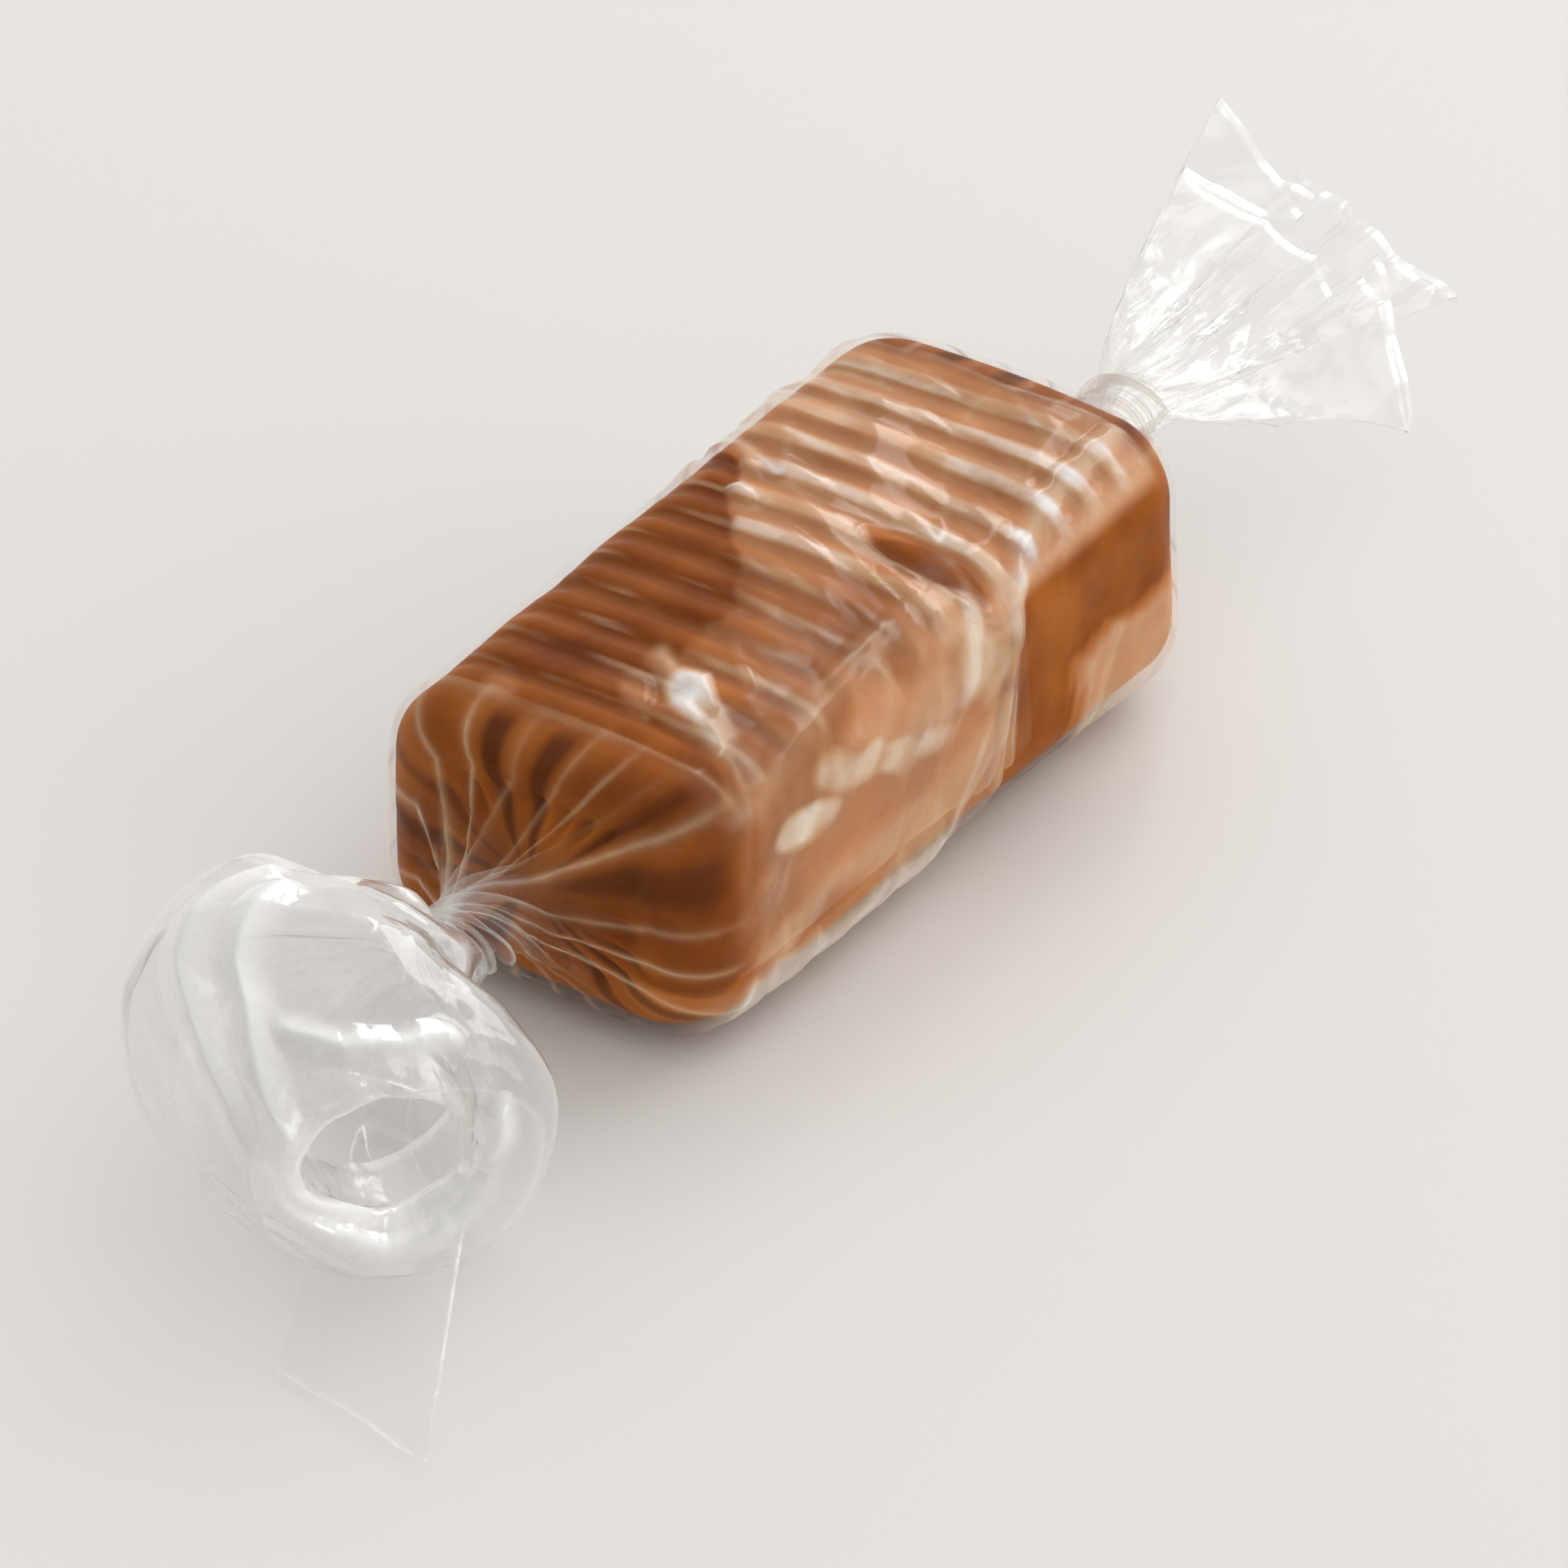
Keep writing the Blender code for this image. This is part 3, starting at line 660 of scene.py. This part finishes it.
def bag_surface(stage, t):
    """Points of the bag: steps along headings, summed up, with a round section at each of them."""
    beyond = past_neck(stage)
    walked = beyond * BAG_WALK
    heading = np.radians(np.interp(walked, *np.transpose(BAG_HEADINGS)))
    step = np.gradient(beyond, axis=0) * BAG_WALK * MM
    turn = MOUTH_TURN * ease((walked - 5.0) / 12.0)
    forward = np.cos(heading) * step
    middle_x = -WRAP_HALF - NECK_START - np.cumsum(forward * np.cos(turn), axis=0)
    middle_y = BAG_SIDEWAYS * ease(walked / 6.0) - MOUTH_ASIDE * ease((walked - 7.0) / 9.0)
    middle_y = middle_y - np.cumsum(forward * np.sin(turn), axis=0)
    out = NECK_RADIUS + np.cumsum(np.sin(heading) * step, axis=0)
    bearing = bag_bearing(stage, t)
    uneven = 0.05 * np.sin(2 * bearing + 0.2) + 0.05 * np.sin(3 * bearing + 2.0 - 0.12 * walked)
    uneven = uneven + 0.05 * facets(bearing / TURN, beyond, 9, 5, seed=58)
    gathered = 1.0 - ease((walked - 1.0) / 6.0)
    between = 1.0 - pleat_out(t, FRONT)
    out = out * (1.0 + uneven * ease(walked / 4.0)) * (1.0 - 0.35 * between * gathered)
    sideways = out * np.cos(bearing)
    x = middle_x - sideways * np.sin(turn)
    y = middle_y + sideways * np.cos(turn)
    z = out * np.sin(bearing) * mixed(1.0, BAG_FLATNESS, ease(walked / 5.0))
    z = z - BAG_DIP * ease(walked / 9.0)
    neck_y, neck_z = pleated_outline(t, NECK_RADIUS, NECK_CORE, 0.0, FRONT, PLEAT_HALF)
    neck_y, neck_z = turned(neck_y, neck_z, stage, FRONT)
    blend = ease(walked / 1.5)
    points = np.stack([x, mixed(neck_y, y, blend), mixed(neck_z, z, blend)], axis=-1)
    points[..., 2] = np.maximum(points[..., 2], LOWEST)
    return points


# %% [markdown]
# Thin film never bends smoothly for long: it breaks into flat facets with sharp creases between.
# Random heights joined by flat triangles give just that. In the loose ends the facets are long and
# narrow, because every crease starts at the neck and runs outward.

# %% Crumple the film
def crumpled(points, height, closed_round=True):
    """Move each point along the surface's normal by its height, and keep the film off the floor."""
    moved = points + grid_normals(points, closed_round) * height[..., None]
    moved[..., 2] = np.maximum(moved[..., 2], FILM_LOWEST)
    return moved


def twist_crumple(stage, t, seed):
    """Crumple heights: none at the block, fine on the shoulder, and fading towards the cut edge."""
    beyond = past_neck(stage)
    shoulder = np.sin(math.pi * np.clip(stage, 0.0, 1.0)) * (stage < 1.0)
    run = stage / 3.0
    short_folds = facets(t + 0.25 * run, run, 63, 26, seed)
    fine_folds = facets(t - 0.15 * run, run, 147, 60, seed + 1)
    strength = 0.10 * shoulder + 0.12 * ease(beyond * 4) * (1.0 - 0.7 * beyond)
    return MM * strength * (0.8 * short_folds + 0.3 * fine_folds)


def bag_folds(stage, t):
    """Fold heights of the bag: creases out from the neck, then long ones round the mouth."""
    beyond = past_neck(stage)
    from_neck = facets(t + 0.1 * beyond, beyond, 21, 4, seed=54) * ease(beyond * 8)
    round_mouth = facets(t + 0.02 * np.sin(9 * beyond), beyond, 5, 9, seed=57)
    share = ease((beyond - 0.25) / 0.25)
    return MM * (0.50 * from_neck * (1.0 - 0.8 * share) + 0.40 * round_mouth * share)


def mouth_folds(stage, t):
    """About 1 on the crests of the folds that come down the bag's side and run round its mouth."""
    beyond = past_neck(stage)
    bearing = (np.degrees(bag_bearing(stage, t)) - BAG_SEAM) % 360.0 + BAG_SEAM
    uneven = 0.90 + 0.25 * facets(bearing / 360.0 + 0.5, beyond, 11, 9, seed=59)
    paths = [np.multiply(path, (BAG_MM_PER_DEGREE, 1.0)) for path in MOUTH_FOLDS]
    place = (bearing * BAG_MM_PER_DEGREE, beyond * BAG_WALK)
    return uneven * np.max([near_path(*place, path, 0.85) for path in paths], axis=0)


def build_film(name, points, haze_and_highlight, whiteness=None, closed_round=True):
    """Lift the film to its height above the floor and make its mesh, with its veil as an attribute.

    Whiteness says how white the haze is: 0 over caramel that shows through, and 1 away from it.
    """
    fields = {"haze_and_highlight": haze_and_highlight, "whiteness": haze_and_highlight / 2 if whiteness is None else whiteness}
    return grid_mesh(name, settled(points) + LIFT, fields, closed_round)


# %% [markdown]
# The sheet is one, but it is made as three tubes that meet in the middle of each neck, where the
# twist hides the joint. One mesh would be too fine in one place or too coarse in another.

# %% The film round the block, with both shoulders
WRAP_COLUMNS = 356
WRAP_BODY_ROWS = 166
WRAP_ROUND_ROWS = 13
SHOULDER_ROWS = 42
NECK_MIDDLE = 1.5


def build_wrap():
    """One closed tube from the middle of the front neck to the middle of the rear neck."""
    t = (np.arange(WRAP_COLUMNS) / WRAP_COLUMNS)[None, :]
    stage = np.linspace(0.0, NECK_MIDDLE, SHOULDER_ROWS + 1)[1:, None]
    straight = WRAP_HALF - END_ROUND
    rounding = straight + end_rounding(WRAP_ROUND_ROWS)
    body_x = np.linspace(-straight, straight, WRAP_BODY_ROWS)
    body_x = np.concatenate([-rounding[::-1], body_x, rounding])
    body, clear = wrap_surface(body_x[:, None], t)
    front = neck_surface(stage[::-1], t, FRONT)
    rear = neck_surface(stage, t, REAR)
    front = crumpled(front, twist_crumple(stage[::-1], t, 51))
    rear = crumpled(rear, twist_crumple(stage, t, 61))
    points = np.concatenate([front, body, rear])
    shoulder = shoulder_highlight_lines(t) + 0.25 * ease(stage)
    haze_and_highlight = np.concatenate([shoulder[::-1], clear, shoulder])
    beyond = ease(1.4 * stage - 0.1) + 0 * t
    whiteness = np.maximum(haze_and_highlight / 2, np.concatenate([beyond[::-1], 0 * clear, beyond]))
    return build_film("film_wrap", points, haze_and_highlight, whiteness)


film_wrap = build_wrap()

# %% The loose ends
TWIST_COLUMNS = 588
TWIST_ROWS = 160
CLOSE_ROWS = 49
CLOSE_END = 2.3


def loose_end(surface, end):
    """The stages, shares of the way round and points of a loose end, with closer rows at the neck."""
    close = np.linspace(NECK_MIDDLE, CLOSE_END, CLOSE_ROWS + 1)[:-1]
    stage = np.concatenate([close, np.linspace(CLOSE_END, 3.0, TWIST_ROWS - CLOSE_ROWS)])
    stage, t = stage[:, None], (np.arange(TWIST_COLUMNS) / TWIST_COLUMNS)[None, :]
    return stage, t, np.where(stage[..., None] > 2.0, surface(stage, t), neck_surface(stage, t, end))


def build_bag():
    """One closed tube from the middle of the front neck over the bag's rim to its inner wall's end."""
    stage, t, points = loose_end(bag_surface, FRONT)
    folds = bag_folds(stage, t)
    ridges = mouth_folds(stage, t)
    small = facets(t - 0.3 * stage, stage - 2.0, 34, 22, seed=56)
    points = crumpled(points, MM * (0.05 * small - 0.55 * ridges) - folds)
    beyond = past_neck(stage)
    # Painted highlights: a pale ring at the rim, pale lines on the mouth folds and a bright line at the
    # cut edge.
    rim = np.exp(-((beyond - 0.78) / 0.03) ** 2)
    haze_and_highlight = mixed(1.1, 0.45, ease(beyond * 3)) + 0.7 * rim + 0.7 * crease_lines(folds)
    haze_and_highlight = haze_and_highlight + 3.6 * ridges ** 1.6 + 1.2 * ease((beyond - 0.965) / 0.02)
    return build_film("film_front_twist", points[::-1], haze_and_highlight[::-1])


def build_fan():
    """One closed tube of pleats from the middle of the rear neck to the fan's cut edge."""
    stage, t, points = loose_end(fan_surface, REAR)
    height = twist_crumple(stage, t, 61)
    points = crumpled(points, height)
    beyond = past_neck(stage)
    out = pleat_out(t, REAR)
    haze_and_highlight = mixed(0.7, 0.05, ease(beyond * 1.8)) + 0.30 * fold_wave(t) ** 4 * (1 - beyond)
    haze_and_highlight = haze_and_highlight + 0.4 * crease_lines(height) * (1.0 - ease((beyond - 0.3) / 0.3))
    # Painted highlight: a bright line along the cut edge.
    haze_and_highlight = haze_and_highlight + 2.4 * ease((beyond - 0.965) / 0.015) * (0.4 + 0.6 * out)
    return build_film("film_rear_twist", points, haze_and_highlight)


film_front_twist = build_bag()
film_rear_twist = build_fan()

# %% [markdown]
# One corner of the front sheet is not in the bag: it lies out flat on the floor. The bag's tube could be
# stretched to it, but its folds would stretch too, so it is a small sheet of its own: a blend of its four
# corners, arched a little and crumpled, with painted highlights along its cut edges.

# %% The corner on the floor
CORNER_ROWS = 130
CORNER_COLUMNS = 80
CORNER_NEAR = np.array([[-30.5, -1.0, -5.2], [-29.4, -6.6, -4.8]]) * MM
CORNER_FAR = np.array([[-39.6, -5.6, -5.85], [-40.9, -13.45, -5.75]]) * MM


def build_corner():
    """Points between four corners: first along both sides, then across, plus an arch that fades."""
    along = np.linspace(1.0, 0.0, CORNER_ROWS)[:, None]
    across = np.linspace(0.0, 1.0, CORNER_COLUMNS)[None, :]
    near = mixed(CORNER_NEAR[0], CORNER_NEAR[1], across[..., None])
    far = mixed(CORNER_FAR[0], CORNER_FAR[1], across[..., None])
    points = mixed(near, far, along[..., None])
    lift = 0.50 * np.sin(math.pi * across) * np.sin(math.pi * along)
    lift = lift + 0.14 * facets(across * 0.7, along, 7, 3, seed=81)
    points[..., 2] += MM * lift
    # Painted highlights: brighter haze along the cut edges.
    edge = ease((along - 0.98) / 0.01) + 0.6 * ease((across - 0.98) / 0.01)
    return build_film("film_corner", points, 0.06 + 2.0 * edge, closed_round=False)


film_corner = build_corner()

# %% [markdown]
# The film overlaps itself by about a seventh of a turn: the outer layer comes over the top edge and
# down the -Y side to its free edge. It could be the start of a spiral, but a separate narrow sheet, a
# little proud of the layer below, can have its own wave where the edge lifts.

# %% The lap of the film
LAP_COLUMNS = 90
LAP_ROWS = 200
LAP_FRONT = -14.6 * MM
LAP_REAR = 4.4 * MM


def build_lap():
    """A strip over the -Y side: t from the top edge to the free edge, x between the shoulders."""
    share = np.linspace(0.0, 1.0, LAP_COLUMNS)[None, :]
    x = np.linspace(LAP_FRONT, LAP_REAR, LAP_ROWS)[:, None]
    waver = 0.006 * waves(x / MM, 0 * x, seed=71, fineness=0.5)
    t = mixed(MARKS[3] - 0.02, FREE_EDGE + waver, share)
    points, haze_and_highlight = wrap_surface(x, t)
    lift = 0.6 + 0.5 * waves(x / MM, share, seed=72, fineness=0.4)
    lift = 0.10 * MM + 0.25 * MM * ease(share * 1.4 - 0.4) * lift
    run = x / (2 * WRAP_HALF) + 0.5
    lift = lift + 0.10 * MM * facets(share * 0.5, run, 12, 17, seed=73) * ease(share * 5)
    points = crumpled(points, np.clip(lift, 0.04 * MM, 0.5 * MM), closed_round=False)
    fade = ease(share * 4) * ease((x - LAP_FRONT) / MM)
    return build_film("film_lap", points, (0.15 + 0.5 * haze_and_highlight) * fade, closed_round=False)


film_lap = build_lap()

# %% [markdown]
# Clear film is too thin to bend what lies behind it, as a Glass shader would. Each ray passes straight on
# or is mirrored, and Fresnel's rule says in what share. So the film mixes a Transparent shader with a
# glossy one. A faint milky part stands for haze and for the many layers in the twists, and it also paints
# sheen and highlights: pale bands where the film stands off, bright window patches, and pale lines on
# crests, rims and cut edges.

# %% Node helpers
def new_material(name):
    """A material with an empty node tree, and that tree."""
    material = bpy.data.materials.new(name)
    material.use_nodes = True
    material.node_tree.nodes.clear()
    return material, material.node_tree


def add_node(tree, kind, inputs=None, **settings):
    """A shader node with its settings. An input is set to its value, or linked if that is a socket."""
    node = tree.nodes.new("ShaderNode" + kind)
    for name, value in settings.items():
        setattr(node, name, value)
    for key, value in (inputs or {}).items():
        if isinstance(value, bpy.types.NodeSocket):
            tree.links.new(value, node.inputs[key])
        else:
            node.inputs[key].default_value = value
    return node


def maths(tree, operation, first, second, clamp=False):
    """The result of a Math node."""
    return add_node(tree, "Math", {0: first, 1: second}, operation=operation, use_clamp=clamp).outputs[0]


def named_field(tree, name):
    """The value of a mesh attribute."""
    return add_node(tree, "Attribute", attribute_name=name).outputs["Fac"]


def noise(tree, scale, detail, roughness=0.5):
    """A Noise texture's value on Object coordinates."""
    place = add_node(tree, "TexCoord").outputs["Object"]
    inputs = {"Vector": place, "Scale": scale, "Detail": detail, "Roughness": roughness}
    return add_node(tree, "TexNoise", inputs).outputs["Fac"]


def colour_ramp(tree, share, stops):
    """A colour between stops. Each stop is a place from 0 to 1 and a colour, in order."""
    node = add_node(tree, "ValToRGB", {"Fac": share})
    for place, _ in stops[1:-1]:
        node.color_ramp.elements.new(place)
    for element, (place, colour) in zip(node.color_ramp.elements, stops):
        element.position, element.color = place, colour
    return node.outputs["Color"]


def shader_mix(tree, share, first, second):
    """A Mix Shader node: the first shader at share 0, and the second at 1."""
    inputs = {"Fac": share, 1: first.outputs[0], 2: second.outputs[0]}
    return add_node(tree, "MixShader", inputs)


# %% The film's fine wrinkles, shared by both film materials
BUMP_HEIGHT = 0.1 * MM
WHITE = (1.0, 1.0, 1.0, 1.0)


def build_wrinkle_group():
    """Fine wrinkles as a normal, and a streaky haze between 0 and 1, on Object coordinates."""
    group = bpy.data.node_groups.new("film_wrinkles", "ShaderNodeTree")
    sockets = (("Strength", "INPUT", "Float"), ("Normal", "OUTPUT", "Vector"), ("Haze", "OUTPUT", "Float"))
    for label, way, kind in sockets:
        group.interface.new_socket(label, in_out=way, socket_type="NodeSocket" + kind)
    group.interface.items_tree["Strength"].default_value = 0.12
    given, result = group.nodes.new("NodeGroupInput"), group.nodes.new("NodeGroupOutput")
    height = noise(group, 620.0, 3.0)
    bump = add_node(group, "Bump", {"Distance": BUMP_HEIGHT, "Strength": given.outputs["Strength"],
                                    "Height": height})
    group.links.new(bump.outputs["Normal"], result.inputs["Normal"])
    streak = maths(group, "MULTIPLY", height, 1.5)
    group.links.new(maths(group, "ADD", streak, 0.1, clamp=True), result.inputs["Haze"])
    return group


wrinkle_group = build_wrinkle_group()


# %% Film materials
def mirrored_share(tree, normal, haze_and_highlight, least, most):
    """Schlick's form of Fresnel's rule, 0.04 + 0.96 f^5, times least + most * veil.

    Its f is Layer Weight's Facing, so it is the same from both sides of the sheet.
    """
    weight = add_node(tree, "LayerWeight", {"Blend": 0.5, "Normal": normal})
    slant = maths(tree, "POWER", weight.outputs["Facing"], 5.0)
    fresnel = maths(tree, "ADD", maths(tree, "MULTIPLY", slant, 0.96), 0.04)
    factor = maths(tree, "ADD", maths(tree, "MULTIPLY", haze_and_highlight, most), least)
    return maths(tree, "MULTIPLY", fresnel, factor, clamp=True)


def build_film_material(name, mirror_least, mirror_most, haze_most, haze_colours, roughness):
    """Transparent and glossy by Fresnel, with a milky share that grows with the haze and painted highlight
    mask.

    A shadow ray skips all that and passes with a small loss.
    """
    material, tree = new_material(name)
    wrinkles = add_node(tree, "Group", node_tree=wrinkle_group)
    normal, haze_and_highlight = wrinkles.outputs["Normal"], named_field(tree, "haze_and_highlight")
    clear = add_node(tree, "BsdfTransparent", {"Color": (0.984, 0.984, 0.982, 1.0)})
    gloss = add_node(tree, "BsdfPrincipled", {"Base Color": WHITE, "Metallic": 1.0,
                                              "Roughness": roughness, "Normal": normal})
    share = mirrored_share(tree, normal, haze_and_highlight, mirror_least, mirror_most)
    tint = colour_ramp(tree, named_field(tree, "whiteness"), tuple(zip((0.0, 0.55, 1.0), haze_colours)))
    milk = add_node(tree, "BsdfPrincipled", {"Base Color": tint, "Roughness": 0.4,
                                             "Specular IOR Level": 0.2, "Normal": normal})
    # The milky share is partly real haze and partly painted sheen and highlights, as the mask gives.
    haze = maths(tree, "MULTIPLY", maths(tree, "MULTIPLY", haze_and_highlight, haze_most), wrinkles.outputs["Haze"],
                 clamp=True)
    veiled = shader_mix(tree, haze, shader_mix(tree, share, clear, gloss), milk)
    passed = add_node(tree, "BsdfTransparent", {"Color": (0.93, 0.93, 0.925, 1.0)})
    is_shadow = add_node(tree, "LightPath").outputs["Is Shadow Ray"]
    lit = shader_mix(tree, is_shadow, veiled, passed)
    add_node(tree, "OutputMaterial", {"Surface": lit.outputs[0]})
    print(name, "has", len(tree.nodes), "nodes")
    return material


WHITE_HAZE = (0.95, 0.945, 0.93, 1.0)
ORANGE_TO_WHITE = ((0.86, 0.40, 0.13, 1.0), (0.93, 0.66, 0.38, 1.0), WHITE_HAZE)
wrap_film = build_film_material("clear_film_wrap", 0.05, 1.3, 0.36, ORANGE_TO_WHITE, 0.12)
twist_film = build_film_material("clear_film_twist", 0.12, 4.2, 0.32, (WHITE_HAZE,) * 3, 0.10)

# %% [markdown]
# Caramel is a cooked sugar glass with milk in it. Light enters, scatters and comes out redder, so its
# edges glow orange and its shaded sides go dark brown. Subsurface scattering does that. The colour is
# mottled a little, and the surface is satin, with grains and smears where the film has pulled at it. Shade
# and sheen are also painted into the colour: a dark brown in the ridge valleys, in the pocks and in wedges
# on the ends, and a paler colour where the film stands off.

# %% The caramel's material
WET = ((0.32, (0.22, 0.048, 0.004, 1.0)), (0.70, (0.46, 0.135, 0.014, 1.0)))
# Paler colours painted where the film stands off: the painted sheen of the air gap.
GAP_SHEEN = ((0.32, (0.48, 0.145, 0.028, 1.0)), (0.70, (0.68, 0.26, 0.07, 1.0)))
# A dark brown painted in as shade in the valleys, pocks and end grooves.
SHADE_BROWN = (0.10, 0.018, 0.003, 1.0)
SCATTER_DEPTH = 1.1 * MM


def colour_mix(tree, share, first, second):
    """A colour between two: the first at share 0, and the second at 1."""
    return add_node(tree, "Mix", {0: share, 6: first, 7: second}, data_type="RGBA").outputs[2]


def build_caramel_material():
    """Mottled brown with subsurface scattering: dark and wet where the film clings, paler where it stands
    off as painted sheen, and painted shade in the ridge valleys, pocks and end grooves.
    """
    material, tree = new_material("soft_caramel")
    mottle = noise(tree, 240.0, 5.0)
    wet, gap_sheen = colour_ramp(tree, mottle, WET), colour_ramp(tree, mottle, GAP_SHEEN)
    colour = colour_mix(tree, named_field(tree, "gap_sheen"), wet, gap_sheen)
    # Painted shade: the colour is drawn towards the dark brown where the mesh marks valleys and grooves.
    shade = maths(tree, "MULTIPLY", named_field(tree, "painted_shade"), 0.55, clamp=True)
    rough = maths(tree, "MULTIPLY", noise(tree, 900.0, 2.0), 0.25)
    grain = noise(tree, 1500.0, 4.0, roughness=0.6)
    bump = add_node(tree, "Bump", {"Distance": BUMP_HEIGHT, "Strength": 0.45, "Height": grain})
    shader = add_node(tree, "BsdfPrincipled", {
        "Base Color": colour_mix(tree, shade, colour, SHADE_BROWN), "Subsurface Weight": 0.6,
        "Subsurface Radius": (1.0, 0.38, 0.12), "Subsurface Scale": SCATTER_DEPTH,
        "Specular IOR Level": 0.06, "Roughness": maths(tree, "ADD", rough, 0.30),
        "Normal": bump.outputs["Normal"]})
    add_node(tree, "OutputMaterial", {"Surface": shader.outputs[0]})
    print("soft_caramel has", len(tree.nodes), "nodes")
    return material


soft_caramel = build_caramel_material()

# %% Give the pieces their materials and tie them to the frame
pieces = [(caramel_block, "caramel", "caramel", soft_caramel)]
pieces += [(piece, "wrapper", "film", wrap_film) for piece in (film_wrap, film_lap)]
twists = (film_front_twist, film_rear_twist, film_corner)
pieces += [(piece, "wrapper", "film", twist_film) for piece in twists]
for piece, node, slot, material in pieces:
    piece.data.materials.append(material)
    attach(piece, "root")
    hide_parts(node)

# %% [markdown]
# The sweet lies on a plain pale floor. A textured one would draw the eye and show through the film, so
# it is one flat square, much wider than the picture, in one matt colour.

# %% Floor
FLOOR_HALF = 1.2


def build_floor():
    """A wide pale square at the height that the sweet rests on."""
    mesh = bpy.data.meshes.new("floor")
    corners = [(FLOOR_HALF * x, FLOOR_HALF * y, 0) for x, y in ((-1, -1), (1, -1), (1, 1), (-1, 1))]
    mesh.from_pydata(corners, [], [(0, 1, 2, 3)])
    material, tree = new_material("pale_floor")
    shader = add_node(tree, "BsdfPrincipled", {"Base Color": (0.80, 0.785, 0.77, 1.0), "Roughness": 0.6})
    add_node(tree, "OutputMaterial", {"Surface": shader.outputs[0]})
    mesh.materials.append(material)
    return add_object("floor", mesh)


floor = build_floor()

# %% Camera
CAMERA_AZIMUTH = math.radians(-54)
CAMERA_ELEVATION = math.radians(36)
CAMERA_DISTANCE = 0.62
FRAME_HALF = 0.0300
TARGET = np.array([-0.001, -0.0005, 0.002])

right = np.array([math.cos(CAMERA_AZIMUTH), math.sin(CAMERA_AZIMUTH), 0.0])
away = np.array([-math.sin(CAMERA_AZIMUTH), math.cos(CAMERA_AZIMUTH), 0.0])
up = np.array([0.0, 0.0, 1.0])


def aimed(thing, place, target):
    """Put a camera or a light at a place, facing the target."""
    thing.location = Vector(place)
    thing.rotation_euler = (Vector(target) - Vector(place)).to_track_quat("-Z", "Y").to_euler()


camera_data = bpy.data.cameras.new("camera")
camera_data.angle = 2 * math.atan(FRAME_HALF / CAMERA_DISTANCE)
camera_data.clip_start = 0.01
camera = add_object("camera", camera_data)
line_of_sight = away * math.cos(CAMERA_ELEVATION) - up * math.sin(CAMERA_ELEVATION)
aimed(camera, TARGET - line_of_sight * CAMERA_DISTANCE, TARGET)
bpy.context.scene.camera = camera
print("camera at", camera.location)

# %% [markdown]
# Clear film is seen by what it mirrors, so the lights are large shapes and not points. A broad light
# stands behind and to the right, as the window in the photograph does. A narrow, brighter one beside
# it gives the sharp glints, and a faint one on the near side stands for the room.

# %% Lights
LIT_PLACE = (0.0, 0.0, 0.005)


def add_light(name, place, width, height, radiance):
    """A rectangular light aimed at the sweet. Its power is radiance times pi times its area."""
    data = bpy.data.lights.new(name, "AREA")
    data.shape = "RECTANGLE"
    data.size, data.size_y = width, height
    data.energy = radiance * math.pi * width * height
    aimed(add_object(name, data), place, LIT_PLACE)
    print(name, "gives", round(data.energy, 3), "watts")


add_light("window", right * 0.42 + away * 0.46 + up * 0.42, 0.60, 0.40, 2.3)
add_light("window_bar", right * 0.10 + away * 0.62 + up * 0.48, 0.08, 0.40, 4.0)
add_light("room", right * 0.62 - away * 0.30 + up * 0.30, 0.50, 0.40, 1.0)


def build_world():
    """Daylight that is brighter towards the window: its strength follows a dot product with that way."""
    world = bpy.data.worlds.new("daylight")
    world.use_nodes = True
    tree = world.node_tree
    towards = right * 0.55 + away * 0.65 + up * 0.55
    place = add_node(tree, "TexCoord").outputs["Generated"]
    along = add_node(tree, "VectorMath", {0: place, 1: towards / np.linalg.norm(towards)},
                     operation="DOT_PRODUCT")
    strength = add_node(tree, "MapRange", {"Value": along.outputs["Value"], "From Min": -1.0,
                                           "To Min": 0.22, "To Max": 0.98})
    background = tree.nodes["Background"]
    background.inputs["Color"].default_value = (1.0, 0.985, 0.965, 1.0)
    tree.links.new(strength.outputs["Result"], background.inputs["Strength"])
    return world


scene = bpy.context.scene
scene.world = build_world()
scene.view_settings.view_transform = "Standard"
scene.cycles.transparent_max_bounces = 24
scene.cycles.max_bounces = 5
scene.cycles.glossy_bounces = 2
scene.cycles.diffuse_bounces = 3
